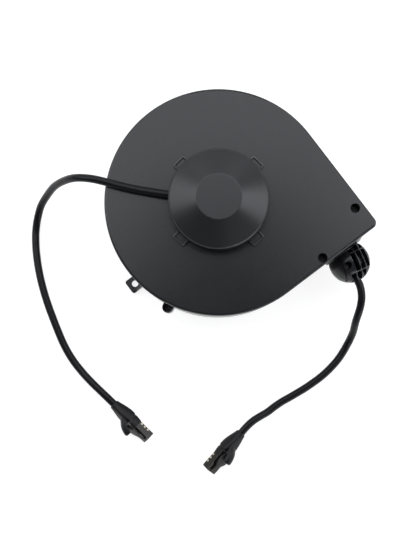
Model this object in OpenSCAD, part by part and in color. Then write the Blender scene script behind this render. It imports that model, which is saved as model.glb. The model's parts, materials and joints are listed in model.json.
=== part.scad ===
// Spring-driven reel for a network extension cord.
// The casing lies on its back: +Z points out of the front face, and the origin is
// on the drum's axis at the back face. The cord leaves through the -Y edge.

/* [Casing] */
// Radius of the round part of the casing
casing_r = 90; // [86:1:110]
// Height from the back face to the front face
casing_h = 68; // [60:1:84]
// Wall thickness of both shells
wall = 2.5; // [2:0.1:3]
// Outer radius of the one square corner
corner_r = 5; // [4:0.5:8]
// Rounding of the outer edges
edge_r = 2; // [1:0.5:2.5]
// Height of the tongue that locates the shells on each other
tongue_h = 3; // [2:0.5:4]
// Thickness of that tongue
tongue_t = 1.2; // [1:0.1:1.5]

/* [Casing screws] */
// Radius of the round screw recesses in the front face
recess_r = 3.8; // [3.4:0.1:4.2]
// Depth of those recesses
recess_depth = 12; // [6:1:16]
// Wall of the screw bosses round a recess
boss_wall = 1.6; // [1.2:0.1:2.5]
// Screw shank radius
shank_r = 1.75; // [1.5:0.05:2]
// Screw head radius
head_r = 3.1; // [2.8:0.1:3.3]
// Screw head height
head_h = 2.2; // [1.5:0.1:2.5]
// Inset of the upper corner screw from the +X edge
screw_a_inset = 7.4; // [6:0.1:9]
// Distance of that screw from the -Y edge
screw_a_up = 21.1; // [14:0.1:28]
// Inset of the lower corner screw from the -Y edge
screw_b_inset = 5.3; // [5:0.1:6.5]
// Clearance between that screw's middle and the rim of the outlet guide
screw_b_clear = 4.85; // [3.8:0.05:6]
// Angle of the screw lug on the rim
lug_angle = -153.2; // [-165:0.1:-140]
// Outer radius of the rim lug
lug_r = 4.5; // [4.2:0.1:6]
// How far the lug's centre lies outside the casing wall
lug_out = 2; // [1:0.1:4]
// Height of each half of the lug
lug_h = 12; // [8:1:16]

/* [Mounting ear] */
// Radius of the hole in the ear
ear_hole_r = 2.75; // [2:0.05:3.2]
// How far the hole's centre lies outside the casing wall
ear_hole_out = 2.9; // [2.6:0.1:5]
// Width of the ear
ear_w = 12.6; // [11:0.1:16]
// How far the ear stands out of the casing wall
ear_out = 9.2; // [8:0.1:12]
// Thickness of the ear
ear_t = 4; // [3:0.5:6]
// Place of the ear's middle along Y
ear_y = -6.6; // [-12:0.1:12]
// Height of the gusset beside the ear
gusset_h = 8; // [5:1:14]

/* [Hub cap] */
// Radius of the hub cap
cap_r = 39.2; // [37:0.1:44]
// Height of the cap's upright side
cap_side_h = 15; // [12:0.5:20]
// Width of the bevel round the cap's shoulder
cap_bevel = 1.2; // [0.6:0.1:2]
// Radius of the flat disc in the middle of the cap
cap_disc_r = 17.6; // [14:0.1:24]
// Height of the flat disc over the front face
cap_h = 27; // [24:0.5:32]
// Wall thickness of the cap
cap_wall = 2; // [1.5:0.1:2.5]
// Angle of the first of the four snap tabs
tab_angle = 8; // [0:1:20]
// Width of a snap tab
tab_w = 8.6; // [6:0.1:11]
// Thickness of a snap tab
tab_t = 2; // [1.5:0.1:2.5]
// How far a tab stands out of the cap's side
tab_out = 4.4; // [3:0.1:6]
// Wall of the lug that holds a tab
tab_lug_wall = 1.2; // [1:0.1:1.6]
// Height of that lug over the front face
tab_lug_h = 3.2; // [2.4:0.1:4]

/* [Cable] */
// Diameter of the cable
cable_d = 6.4; // [5:0.1:7.4]
// Gap between neighbouring turns of the last layer
turn_space = 0.45; // [0.45:0.05:1]
// Most turns in the part-filled last layer
last_turns = 3; // [1:1:5]
// Angle at which the fixed lead leaves the hub cap
lead_angle = 134; // [120:1:150]

/* [Drum] */
// Gap between the drum's flanges and the casing wall
flange_gap = 2.5; // [2:0.1:4]
// Thickness of the drum's flanges
flange_t = 2.5; // [2:0.1:3]
// Depth of the last layer's top below the flange edge
layer_depth = 2; // [1.5:0.1:5]
// Outer radius of the barrel that the cable is wound on
barrel_r = 43.5; // [40:0.5:54]
// Thickness of the barrel wall
barrel_wall = 5; // [4.6:0.1:6]
// Radius of the fixed arbor
arbor_r = 6; // [5:0.1:7.4]
// Radius of the arbor's foot
arbor_foot_r = 15; // [14:0.5:16]
// Thickness of the arbor's foot
arbor_foot_t = 2; // [1.5:0.5:3]
// Wall thickness of the two bushes
bush_wall = 3; // [2:0.5:3.5]
// Running clearance of the bushes on the arbor
running_gap = 0.05; // [0.02:0.01:0.09]
// Number of turns of the mainspring
spring_turns = 9; // [6:1:12]
// Thickness of the mainspring strip
spring_t = 0.8; // [0.5:0.1:1]

/* [Ratchet] */
// Radius over the ratchet teeth
ratchet_r = 34; // [28:0.5:42]
// Depth of the ratchet teeth
tooth_depth = 5; // [3:0.5:6]
// Teeth in each of the two toothed sectors
sector_teeth = 7; // [5:1:9]
// Width of each plain sector, in degrees
plain_deg = 78; // [74:1:90]
// Angle of the pawl's pivot
pawl_angle = 60; // [40:1:80]
// Distance of the pawl's pivot outside the ratchet teeth
pawl_off = 12; // [11:0.5:14]
// Clearance under the hanging pawl over a plain sector
pawl_gap = 3.5; // [2.5:0.1:4.5]
// Radius of the pawl's pin
pawl_pin_r = 2; // [1.5:0.1:2.2]

/* [Slip ring] */
// Number of slip rings, one for each conductor
ring_n = 8; // [4:1:8]
// Outer radius of the rings
ring_r = 11; // [10.5:0.1:12]
// Spacing of the rings
ring_pitch = 2; // [1.8:0.05:2]
// Radius of the rotor's foot where it passes the front shell
rotor_foot_r = 14; // [13.5:0.1:15]

/* [Outlet] */
// Distance of the outlet's middle from the +X edge
outlet_inset = 31.5; // [28:0.1:36]
// Radius of the ball stop
ball_r = 17; // [14:0.1:20.5]
// How far the ball's centre lies outside the -Y edge
ball_out = 10.8; // [10:0.1:12]
// Gap between the ball and its seat
seat_gap = 0.3; // [0.2:0.05:0.5]
// Width of the guide's rim round the ball's seat
guide_rim = 0.6; // [0.5:0.05:2]
// Width of the collar round the outlet guide
collar_w = 1.3; // [1:0.1:3]
// Width of the collar's lobe beside it, at the casing wall
lobe_w = 4.1; // [3:0.1:5]
// How far that lobe lies towards the +X edge
lobe_shift = 2.5; // [1:0.1:3]
// How far that collar stands out of the edge
collar_out = 2; // [1:0.1:3]
// Clearance round the cable in the guide's throat
throat_gap = 1.5; // [1:0.1:2.5]
// Turn of the ball stop about its cable, in degrees
ball_roll = -5; // [-20:1:20]
// Spacing of the ball's long ribs
rib_pitch = 4.9; // [4.5:0.1:5.2]
// Thickness of the ball's ribs
rib_t = 0.9; // [0.7:0.1:1.2]

/* [Plugs] */
// Width of a plug
plug_w = 11.68; // [11:0.01:12.5]
// Height of a plug without its latch
plug_h = 6.6; // [6:0.05:7]
// Length of a plug
plug_len = 21.5; // [20:0.1:26]
// Length of the boot behind the plug
boot_len = 27.5; // [26:0.5:30]
// How deep the plug's rear sits in its boot
plug_seat = 7.5; // [6:0.5:9]

/* [Hidden] */
$fn = 96;

shell_grey = [0.27, 0.27, 0.29];
cap_grey = [0.30, 0.30, 0.32];
black = [0.09, 0.09, 0.10];
cable_black = [0.14, 0.14, 0.15];
boot_grey = [0.20, 0.20, 0.20];
smoke = [0.22, 0.21, 0.19, 0.8];
steel = [0.66, 0.67, 0.69];
brass = [0.80, 0.64, 0.30];
white_plastic = [0.86, 0.86, 0.83];

// Small clearances
slip = 0.05;      // between a screw or pin and its hole
fit = 0.15;       // between parts that push together
clear = 0.3;      // between parts that pass each other
overcut = 1;      // how far a cutter runs past the face it cuts

cable_r = cable_d / 2;
inner_r = casing_r - wall;
seam_z = casing_h / 2;
face_under = casing_h - wall;

// Outlet: the ball's seat sets the size of the guide and of the collar
outlet_x = casing_r - outlet_inset;
outlet_z = seam_z;
guide_sink = 0.4;
seat_r = ball_r + seat_gap;
seat_mouth_r = sqrt(seat_r * seat_r - pow(ball_out - collar_out + guide_sink, 2));
guide_r = seat_mouth_r + guide_rim;
collar_r = guide_r + collar_w;
collar_slope = 0.4;       // how much narrower the collar is at its front
lobe_r = guide_r + lobe_w;
lobe_front_r = guide_r - 0.2;
guide_flange = 2;

// Screw places, in the plane of the front face
screw_a = [casing_r - screw_a_inset, -casing_r + screw_a_up];
screw_b = [outlet_x - guide_r - screw_b_clear, -casing_r + screw_b_inset];
front_boss_r = recess_r + boss_wall;
rear_boss_r = shank_r + 3;
screw_seat_z = casing_h - recess_depth;
screw_tip = 12;
lug_centre = [(casing_r + lug_out) * cos(lug_angle), (casing_r + lug_out) * sin(lug_angle)];
lug_recess_r = head_r + 0.2;
lug_floor = 5;
ear_hole = [-casing_r - ear_hole_out, ear_y];
gusset_t = 2;
ear_corner_r = 2;

// Levels along the drum's axis
boss_top = 5;                                 // raised middle of the rear floor
boss_r = arbor_foot_r + 3;
foot_top = boss_top + arbor_foot_t;
drum_z0 = foot_top + 0.5;                     // underside of the rear flange
wind_z0 = drum_z0 + flange_t;                 // floor of the winding
drum_z1 = face_under - 7.5;                   // top of the front flange
wind_z1 = drum_z1 - flange_t;                 // roof of the winding
ratchet_top = drum_z1 + 4.5;
flange_r = inner_r - flange_gap;
layer_r = flange_r - layer_depth - cable_r;   // middle of the last layer of cable
barrel_in = barrel_r - barrel_wall;
web_t = 3;
web_z = wind_z1 - 12;                         // underside of the barrel's web
bush_r = arbor_r + bush_wall;
bush_end = 0.5;                               // how far the front bush stands proud
hub_wall = 3;
hub_h = 9;
front_bush_z = web_z - hub_h + web_t;
arbor_top = web_z + web_t + 6;
groove_z = web_z + web_t + 1;
groove_depth = 0.8;
retainer_t = 1;

// Flange screws: countersunk in both flanges, on the middle of the barrel wall
flange_screw_n = 4;
flange_screw_from = 55;
flange_screw_r = barrel_r - barrel_wall / 2;
flange_shank_r = 1.3;
flange_head_r = 2.1;
flange_head_h = 1.2;
flange_screw_len = 8;

// Arbor screws, from behind
arbor_screw_n = 4;
arbor_screw_r = arbor_foot_r - 4;
arbor_head_r = 3;
arbor_head_h = 1.8;
arbor_head_sink = 2.2;

// Cable line: a tangent from the last layer to the middle of the ball
ball_c = [outlet_x, -casing_r - ball_out];
ball_dist = norm(ball_c);
ball_bearing = atan2(ball_c.y, ball_c.x);
tangent_angle = ball_bearing + acos(layer_r / ball_dist);
pull_angle = tangent_angle - 90;
pull_len = sqrt(ball_dist * ball_dist - layer_r * layer_r);
part_gap = 0.45;                              // between the winding's end and the run
echo(pull_direction = [cos(pull_angle), sin(pull_angle)], pull_len = pull_len, layer_r = layer_r);

// Under the cap
lead_offset = 1.5;                            // side step of the lead from the axis
lead_z = casing_h + cable_r + 1;
notch_gap = 0.4;
rotor_z = web_z + web_t;                      // the rotor stands on the barrel's web
rotor_foot_top = casing_h - 0.5;
rotor_neck_r = ring_r - 2;
rotor_base_r = rotor_foot_r + 3;
rotor_base_t = 2;
rotor_bore_r = 3.5;
tail_angle = 100;                             // where the cable's inner end enters
tail_z = rotor_z + cable_r + 1.5;
ring_z0 = casing_h + 2;
ring_t = 1.2;
rotor_top = ring_z0 + ring_n * ring_pitch + 1.5;
hub_hole_r = rotor_foot_r + 1;
brush_gap = 0.1;
brush_r = 0.35;
block_in = ring_r + 6;
block_len = 9.5;
block_w = 13;
block_top = min(rotor_top - 1, casing_h + cap_side_h + 3);
clamp_in = block_in + block_len + 2;
clamp_len = 5;
clamp_w = 15;
clamp_top = lead_z + cable_r + 1.5;
clamp_screw_y = 5.2;
clamp_shank_r = 1.1;
clamp_head_r = 1.9;
clamp_head_h = 1.2;

// Pawl: it hangs on its pin over a plain sector of the ratchet
pawl_pivot_r = ratchet_r + pawl_off;
pawl_len = pawl_off + tooth_depth - pawl_gap;
pawl_c = [pawl_pivot_r * cos(pawl_angle), pawl_pivot_r * sin(pawl_angle)];
pawl_t = 2.4;
pawl_z = ratchet_top - pawl_t;
pawl_hub_r = 4.2;
pawl_tip_w = 2.4;
pin_head_r = 3.2;
pin_head_t = 0.8;
pin_sink = 1.6;
plain_from = pawl_angle - 16;
tooth_deg = (180 - plain_deg) / sector_teeth;
coil_r = 3;
coil_wire_r = 0.3;
coil_turns = 2;

// Ball stop, in the frame of the cable line: X along the cable, Y to its left
rib_first = -1.4;
rib_n = 4;
cross_ribs = [-6.2, 9.6];
groove_y = -9.7;
groove_w = 0.9;
groove_deep = 0.8;
pocket_floor = 3;
pocket_rim = 1.5;
ball_screw = [2.2, -5.9];
ball_shank_r = 1.4;
ball_recess_r = 2.9;
ball_recess_z = 7;
ball_head_r = 2.6;
ball_head_h = 1.6;
ball_post_r = 3;
ball_post_h = 9;
ball_screw_len = 10;

// Plugs and boots, in the frame of the plug: X forward, Z towards the latch
boot_tail_r = cable_r + 0.9;
boot_mid_x = 13;
boot_mid = [10.6, 9.6];
boot_front = [13.2, 8.4];
plug_x0 = boot_len - plug_seat;
plug_x1 = plug_x0 + plug_len;
hinge_x = plug_x1 - 1.4;
hinge_z = plug_h / 2 + 0.35;
knuckle_r = 0.8;
knuckle_w = 6;
contact_n = 8;
contact_pitch = 1.02;
contact_w = 0.32;
contact_slot_w = 0.56;
contact_len = 3.4;
wire_r = 0.46;
cavity_z = [-1.5, 1.7];
window_n = 3;
window_pitch = 3.4;
window_len = 2;
window_w = 10.2;
window_gap = 0.4;         // between the first window and the contact slots
plug_corner_r = 1;
slot_x = plug_x1 - contact_len - 0.9;
core_z = cavity_z[0] + 0.6 + wire_r;

// Where the plugs lie on the surface: place, heading and roll
lead_plug_at = [-167.4, -76.8, 8];
lead_plug_heading = -81;
lead_plug_roll = 60;
reel_plug_at = [-96.2, -160.6, 8];
reel_plug_heading = 191;
reel_plug_roll = -45;

// Route of the fixed lead: out of the cap, over the face, down to the surface
// and along it to its boot. Its ends run square to the cap and to the boot.
lead_route = [
  lead_point(cap_r), lead_point(cap_r + 8),
  [-39.4, 38.7, 71.9], [-44.5, 44.1, 71.7], [-49.5, 49.7, 71.6], [-54.3, 55.5, 71.6],
  [-58.9, 61.4, 71.6], [-63.5, 67.4, 71.3], [-68.2, 73.1, 70.3], [-73.1, 78.3, 68],
  [-77.9, 82.8, 64.4], [-82.3, 86.3, 59.5], [-86.4, 89, 53.8], [-90.4, 91.2, 47.9],
  [-94.3, 93, 41.7], [-98.3, 94.2, 35.5], [-102.4, 94.7, 29.3], [-106.8, 94.7, 23.2],
  [-111.6, 94.3, 17.4], [-116.8, 93, 12.2], [-122.2, 90.1, 7.9], [-131.6, 82.3, 3.9],
  [-139.7, 72.1, 3.2], [-146.5, 61.1, 3.2], [-152.5, 49.5, 3.2], [-157.6, 37.6, 3.2],
  [-162, 25.3, 3.2], [-165.7, 12.9, 3.2], [-169.1, 0.3, 3.2], [-172, -12.3, 3.2],
  [-173.5, -25.2, 3.4], [-173.3, -38.2, 4.2], [-171.8, -51, 6.1], [-169.6, -63.7, 7.6],
  behind(lead_plug_at, lead_plug_heading, cable_d), lead_plug_at
];
// Route of the reel's cord: out of the ball, down to the surface and to its boot
reel_route = [
  pull_point(pull_len + ball_r), pull_point(pull_len + ball_r + 4),
  [49.9, -128.7, 33.5], [45.1, -134.2, 32.1], [39.9, -138.7, 29.3], [35.3, -142.5, 25],
  [32, -146.1, 19.4], [28.9, -149.6, 13.6], [24.5, -152.9, 8.6], [18.9, -156.1, 5.1],
  [12.3, -159.1, 3.4], [5.3, -161.4, 3.3], [-2, -162.9, 3.4], [-9.4, -163.9, 3.3],
  [-16.8, -164.3, 3.2], [-24.2, -164.1, 3.2], [-31.6, -163.7, 3.3], [-39, -162.9, 3.3],
  [-46.4, -162, 3.3], [-53.8, -161, 3.2], [-61.2, -160.6, 3.3], [-68.5, -160.5, 4.2],
  [-75.7, -159.5, 5.9], [-82.9, -158.8, 7.4],
  behind(reel_plug_at, reel_plug_heading, cable_d), reel_plug_at
];

function pull_point(s) = [
  layer_r * cos(tangent_angle) + s * cos(pull_angle),
  layer_r * sin(tangent_angle) + s * sin(pull_angle),
  outlet_z
];

// Point at distance d behind a plug that heads along the angle a
function behind(at, a, d) = at - d * [cos(a), sin(a), 0];

function lead_point(s) = [
  s * cos(lead_angle) - lead_offset * sin(lead_angle),
  s * sin(lead_angle) + lead_offset * cos(lead_angle),
  lead_z
];

// ---------------------------------------------------------------- tubes

function unit(v) = v / norm(v);

// Direction of a route at point i: along the chord of its neighbours
function heading(p, i) = unit(p[min(i + 1, len(p) - 1)] - p[max(i - 1, 0)]);

// One ring of a tube, square to the direction d, with its first side level
function ring(c, d, r, n) =
  let (side = unit(cross([0, 0, 1], d)), up = cross(d, side))
  [for (k = [0 : n - 1]) c + r * (cos(k * 360 / n) * side + sin(k * 360 / n) * up)];

// A closed tube of n sides along the points p, as one polyhedron of triangles
module tube(p, r, n = 10) {
  last = len(p) - 1;
  rings = [for (i = [0 : last]) each ring(p[i], heading(p, i), r, n)];
  sides = [
    for (i = [0 : last - 1], k = [0 : n - 1])
      let (a = i * n + k, b = i * n + (k + 1) % n)
      each [[a, b, a + n], [b, b + n, a + n]]
  ];
  cap_a = [for (k = [1 : n - 2]) [0, k + 1, k]];
  cap_b = [for (k = [1 : n - 2]) [last * n, last * n + k, last * n + k + 1]];
  polyhedron(points = rings, faces = concat([for (f = sides) [f[0], f[2], f[1]]],
    [for (f = cap_a) [f[0], f[2], f[1]]], [for (f = cap_b) [f[0], f[2], f[1]]]));
}

// ---------------------------------------------------------------- casing shape

// Half section of a rounded edge: r wide, h high, rounded by f at the top
module edge_section(r, h, f) {
  square([r - f, h]);
  square([r, h - f]);
  translate([r - f, h - f])
    circle(f);
}

// A round block with one square corner in the +X -Y quarter. r is its radius, c the
// radius of its corner, h its height, and f the rounding of its top edge.
module casing_block(r, c, h, f) {
  rotate_extrude(angle = 270)
    edge_section(r, h, f);
  translate([0, c - r, 0])
    cube([r - c, r - c, h]);
  translate([0, c - r, 0])
    rotate([90, 0, 90])
      linear_extrude(r - c)
        mirror([1, 0])
          edge_section(c, h, f);
  translate([r - c, 0, 0])
    rotate([90, 0, 0])
      linear_extrude(r - c)
        edge_section(c, h, f);
  translate([r - c, c - r, 0])
    rotate([0, 0, -90])
      rotate_extrude(angle = 90)
        edge_section(c, h, f);
}

// The hollow of a shell, and the tongue that lines it
module casing_hollow(inset, h) {
  casing_block(inner_r - inset, corner_r - wall + slip, h, slip);
}

module outlet_cut() {
  translate([outlet_x, -inner_r + overcut, outlet_z])
    rotate([90, 0, 0])
      cylinder(r = guide_r + slip, h = wall + collar_out + 2 * overcut);
}

// Half of the collar round the outlet, above z = outlet_z
module collar_half() {
  intersection() {
    union() {
      translate([outlet_x, -casing_r, outlet_z])
        rotate([90, 0, 0])
          cylinder(r1 = collar_r, r2 = collar_r - collar_slope, h = collar_out);
      translate([outlet_x + lobe_shift, -casing_r, outlet_z])
        rotate([90, 0, 0])
          cylinder(r1 = lobe_r, r2 = lobe_front_r, h = collar_out);
    }
    translate([outlet_x - 2 * lobe_r, -casing_r - collar_out, outlet_z])
      cube([4 * lobe_r, collar_out, lobe_r]);
  }
}

// Outline of the rim lug, from the casing wall to its round end
module lug_outline(r) {
  rotate(lug_angle)
    union() {
      translate([casing_r + lug_out, 0])
        circle(r);
      translate([inner_r + 0.5, -r])
        square([wall - 0.5 + lug_out, 2 * r]);
    }
}

module boss(at, r, z0, z1) {
  translate([at.x, at.y, z0])
    cylinder(r = r, h = z1 - z0);
}

module casing_screw(at, seat, tip) {
  translate([at.x, at.y, seat]) {
    difference() {
      cylinder(r = head_r, h = head_h);
      translate([0, 0, head_h - 1.1])
        cross_recess(1.4, 1.1 + overcut);
    }
    translate([0, 0, tip - seat])
      cylinder(r = shank_r, h = seat - tip);
  }
}

module cross_recess(reach, depth) {
  for (turn = [0, 90])
    rotate([0, 0, turn])
      translate([-reach, -0.3, 0])
        cube([2 * reach, 0.6, depth]);
}

// ---------------------------------------------------------------- shells

module rear_shell() {
  color(shell_grey)
    difference() {
      union() {
        difference() {
          translate([0, 0, seam_z])
            mirror([0, 0, 1])
              casing_block(casing_r, corner_r, seam_z, edge_r);
          translate([0, 0, wall])
            casing_hollow(0, seam_z);
        }
        boss([0, 0], boss_r, wall - 0.1, boss_top);
        for (at = [screw_a, screw_b])
          intersection() {
            boss(at, rear_boss_r, wall - 0.1, seam_z);
            translate([0, 0, wall - 0.1])
              casing_hollow(-0.5, seam_z);
          }
        translate([0, 0, seam_z - lug_h])
          linear_extrude(lug_h)
            lug_outline(lug_r);
        ear();
        translate([0, 0, 2 * outlet_z])
          mirror([0, 0, 1])
            collar_half();
      }
      for (at = [screw_a, screw_b])
        boss(at, shank_r + slip, screw_tip - overcut, seam_z + overcut);
      boss(lug_centre, shank_r + slip, seam_z - lug_h + 2, seam_z + overcut);
      outlet_cut();
      translate([ear_hole.x, ear_hole.y, -overcut])
        cylinder(r = ear_hole_r, h = ear_t + 2 * overcut);
      for (i = [0 : arbor_screw_n - 1])
        rotate([0, 0, 45 + i * 360 / arbor_screw_n])
          translate([arbor_screw_r, 0, -overcut]) {
            cylinder(r = arbor_head_r + 0.2, h = arbor_head_sink + overcut);
            cylinder(r = flange_shank_r + slip + 0.2, h = boss_top + 2 * overcut);
          }
    }
}

// Flat ear with a round hole, flush with the back, and the gusset beside it
module ear() {
  ear_x0 = -casing_r - ear_out;
  ear_in = -sqrt(inner_r * inner_r - pow(abs(ear_y) + ear_w / 2 + gusset_t, 2)) - 1;
  difference() {
    union() {
      translate([ear_x0 + ear_corner_r, ear_y - ear_w / 2, 0])
        cube([ear_in - ear_x0 - ear_corner_r, ear_w, ear_t]);
      translate([ear_x0, ear_y - ear_w / 2 + ear_corner_r, 0])
        cube([ear_corner_r, ear_w - 2 * ear_corner_r, ear_t]);
      for (side = [-1, 1])
        translate([ear_x0 + ear_corner_r, ear_y + side * (ear_w / 2 - ear_corner_r), 0])
          cylinder(r = ear_corner_r, h = ear_t);
      translate([0, ear_y - ear_w / 2 + gusset_t, 0])
        rotate([90, 0, 0])
          linear_extrude(gusset_t)
            polygon([[ear_x0 + 3, ear_t], [ear_x0 + 3, ear_t - 1], [ear_in, ear_t - 1],
              [ear_in, ear_t + gusset_h], [-casing_r, ear_t + gusset_h]]);
    }
    translate([0, 0, wall])
      cylinder(r = inner_r, h = casing_h);
  }
}

module front_shell() {
  color(shell_grey)
    difference() {
      union() {
        difference() {
          translate([0, 0, seam_z])
            casing_block(casing_r, corner_r, casing_h - seam_z, edge_r);
          translate([0, 0, seam_z - overcut])
            casing_hollow(0, face_under - seam_z + overcut);
        }
        tongue();
        for (at = [screw_a, screw_b])
          intersection() {
            boss(at, front_boss_r, seam_z, casing_h - edge_r);
            translate([0, 0, seam_z])
              casing_hollow(-0.5, casing_h - seam_z - 1);
          }
        translate([0, 0, seam_z])
          linear_extrude(lug_h)
            lug_outline(lug_r);
        for (i = [0 : 3])
          rotate([0, 0, tab_angle + 90 * i])
            tab_lug();
        collar_half();
      }
      for (at = [screw_a, screw_b]) {
        boss(at, recess_r, screw_seat_z, casing_h + overcut);
        boss(at, shank_r + slip, seam_z - overcut, screw_seat_z + overcut);
      }
      boss(lug_centre, lug_recess_r, seam_z + lug_floor, seam_z + lug_h + overcut);
      boss(lug_centre, shank_r + slip, seam_z - overcut, seam_z + lug_h);
      outlet_cut();
      boss([0, 0], hub_hole_r, face_under - overcut, casing_h + overcut);
      translate([pawl_c.x, pawl_c.y, face_under - overcut])
        cylinder(r = pawl_pin_r + slip, h = pin_sink + overcut);
      along_lead()
        for (side = [-1, 1])
          translate([clamp_in + clamp_len / 2, side * clamp_screw_y, face_under + 0.5])
            cylinder(r = clamp_shank_r + slip, h = wall + overcut);
    }
}

// Tongue inside the seam, cut away where the screw bosses and the outlet are
module tongue() {
  difference() {
    union() {
      translate([0, 0, seam_z - tongue_h])
        casing_hollow(fit, 2 * tongue_h);
      translate([0, 0, seam_z])
        casing_hollow(-0.5, tongue_h);
    }
    translate([0, 0, seam_z - tongue_h - overcut])
      casing_hollow(fit + tongue_t, 2 * (tongue_h + overcut));
    for (at = [screw_a, screw_b])
      boss(at, rear_boss_r + fit, seam_z - tongue_h - overcut, seam_z);
    translate([outlet_x - guide_r - 3, -casing_r, seam_z - tongue_h - overcut])
      cube([2 * (guide_r + 3), wall + guide_flange + 2 * fit, 2 * (tongue_h + overcut)]);
  }
}

// U-shaped lug on the front face: it holds one of the cap's tabs
module tab_lug() {
  outer_w = tab_w + 2 * (fit + tab_lug_wall);
  lug_end = cap_r + tab_out + fit + tab_lug_wall;
  translate([0, 0, casing_h - 0.1])
    difference() {
      union() {
        translate([cap_r - 2, -outer_w / 2, 0])
          cube([lug_end - cap_r + 2 - 1, outer_w, tab_lug_h + 0.1]);
        translate([lug_end - 1, -outer_w / 2 + 1, 0])
          cube([1, outer_w - 2, tab_lug_h + 0.1]);
        for (side = [-1, 1])
          translate([lug_end - 1, side * (outer_w / 2 - 1), 0])
            cylinder(r = 1, h = tab_lug_h + 0.1);
      }
      translate([0, -tab_w / 2 - fit, 0])
        cube([cap_r + tab_out + fit, tab_w + 2 * fit, tab_lug_h + overcut]);
      cylinder(r = cap_r + fit, h = tab_lug_h + overcut);
    }
}

module hub_cap() {
  shoulder = cap_side_h;
  slope = (cap_h - shoulder - cap_bevel) / (cap_r - cap_bevel - cap_disc_r);
  color(cap_grey)
    translate([0, 0, casing_h])
      difference() {
        union() {
          rotate_extrude()
            polygon([[0, 0], [cap_r, 0], [cap_r, shoulder], [cap_r - cap_bevel, shoulder + cap_bevel],
              [cap_disc_r, cap_h], [0, cap_h]]);
          for (i = [0 : 3])
            rotate([0, 0, tab_angle + 90 * i])
              translate([cap_r - cap_wall, -tab_w / 2, 0])
                cube([cap_wall + tab_out, tab_w, tab_t]);
        }
        translate([0, 0, -overcut])
          cylinder(r = cap_r - cap_wall, h = shoulder + overcut);
        translate([0, 0, shoulder - 0.01])
          rotate_extrude()
            polygon([[0, 0], [cap_r - cap_wall, 0], [cap_disc_r, slope * (cap_r - cap_wall - cap_disc_r)],
              [0, slope * (cap_r - cap_wall - cap_disc_r)]]);
        translate([0, 0, -casing_h])
          along_lead()
            translate([cap_r - 2 * cap_wall - 1, 0, 0]) {
              translate([0, 0, lead_z])
                rotate([0, 90, 0])
                  cylinder(r = cable_r + notch_gap, h = 3 * cap_wall);
              translate([0, -cable_r - notch_gap, casing_h - overcut])
                cube([3 * cap_wall, 2 * (cable_r + notch_gap), lead_z - casing_h + overcut]);
            }
      }
}

module corner_screws() {
  color(black)
    for (at = [screw_a, screw_b])
      casing_screw(at, screw_seat_z, screw_tip);
}

module rim_screw() {
  color(black)
    casing_screw(lug_centre, seam_z + lug_floor, seam_z - lug_h + 4);
}

// ---------------------------------------------------------------- arbor and drum

module arbor() {
  color(steel)
    difference() {
      union() {
        boss([0, 0], arbor_foot_r, boss_top, foot_top);
        boss([0, 0], arbor_r, boss_top, arbor_top);
      }
      for (i = [0 : arbor_screw_n - 1])
        rotate([0, 0, 45 + i * 360 / arbor_screw_n])
          translate([arbor_screw_r, 0, boss_top - overcut])
            cylinder(r = flange_shank_r + slip, h = arbor_foot_t + 2 * overcut);
      translate([0, 0, groove_z])
        difference() {
          cylinder(r = arbor_r + overcut, h = retainer_t + 0.1);
          translate([0, 0, -overcut])
            cylinder(r = arbor_r - groove_depth, h = retainer_t + 2 * overcut);
        }
    }
}

module arbor_screws() {
  color(steel)
    for (i = [0 : arbor_screw_n - 1])
      rotate([0, 0, 45 + i * 360 / arbor_screw_n])
        translate([arbor_screw_r, 0, arbor_head_sink - arbor_head_h]) {
          difference() {
            cylinder(r = arbor_head_r, h = arbor_head_h);
            translate([0, 0, -overcut])
              cross_recess(1.4, 1 + overcut);
          }
          cylinder(r = flange_shank_r, h = foot_top - arbor_head_sink + arbor_head_h);
        }
}

// Open ring in the arbor's groove, over the front bush
module retaining_ring() {
  color(steel)
    translate([0, 0, groove_z])
      difference() {
        cylinder(r = arbor_r + 2, h = retainer_t);
        translate([0, 0, -overcut])
          cylinder(r = arbor_r - groove_depth + slip, h = retainer_t + 2 * overcut);
        translate([0, -1.5, -overcut])
          cube([arbor_r + 3, 3, retainer_t + 2 * overcut]);
      }
}

module bush(z0, z1) {
  color(brass)
    difference() {
      boss([0, 0], bush_r, z0, z1);
      boss([0, 0], arbor_r + running_gap, z0 - overcut, z1 + overcut);
    }
}

module rear_bush() {
  bush(drum_z0 - 0.3, drum_z0 + hub_h);
}

module front_bush() {
  bush(front_bush_z, web_z + web_t + bush_end);
}

module barrel() {
  color(white_plastic)
    difference() {
      boss([0, 0], barrel_r, wind_z0, wind_z1);
      boss([0, 0], barrel_in, wind_z0 - overcut, web_z);
      boss([0, 0], barrel_in, web_z + web_t, wind_z1 + overcut);
      boss([0, 0], bush_r + slip, web_z - overcut, web_z + web_t + overcut);
      flange_screw_holes(wind_z0 - overcut, wind_z0 + flange_screw_len);
      flange_screw_holes(wind_z1 - flange_screw_len, wind_z1 + overcut);
      // Slot through which the cable's inner end reaches the slip ring
      rotate([0, 0, tail_angle])
        translate([0, 0, tail_z])
          rotate([0, 90, 0])
            cylinder(r = cable_r + 0.3, h = barrel_r + overcut);
    }
  // Hub under the web, which holds the front bush
  color(white_plastic)
    difference() {
      boss([0, 0], bush_r + hub_wall, front_bush_z, web_z);
      boss([0, 0], bush_r + slip, front_bush_z - overcut, web_z + overcut);
    }
}

module flange_screw_holes(z0, z1) {
  for (i = [0 : flange_screw_n - 1])
    rotate([0, 0, flange_screw_from + i * 360 / flange_screw_n])
      boss([flange_screw_r, 0], flange_shank_r + slip, z0, z1);
}

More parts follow.
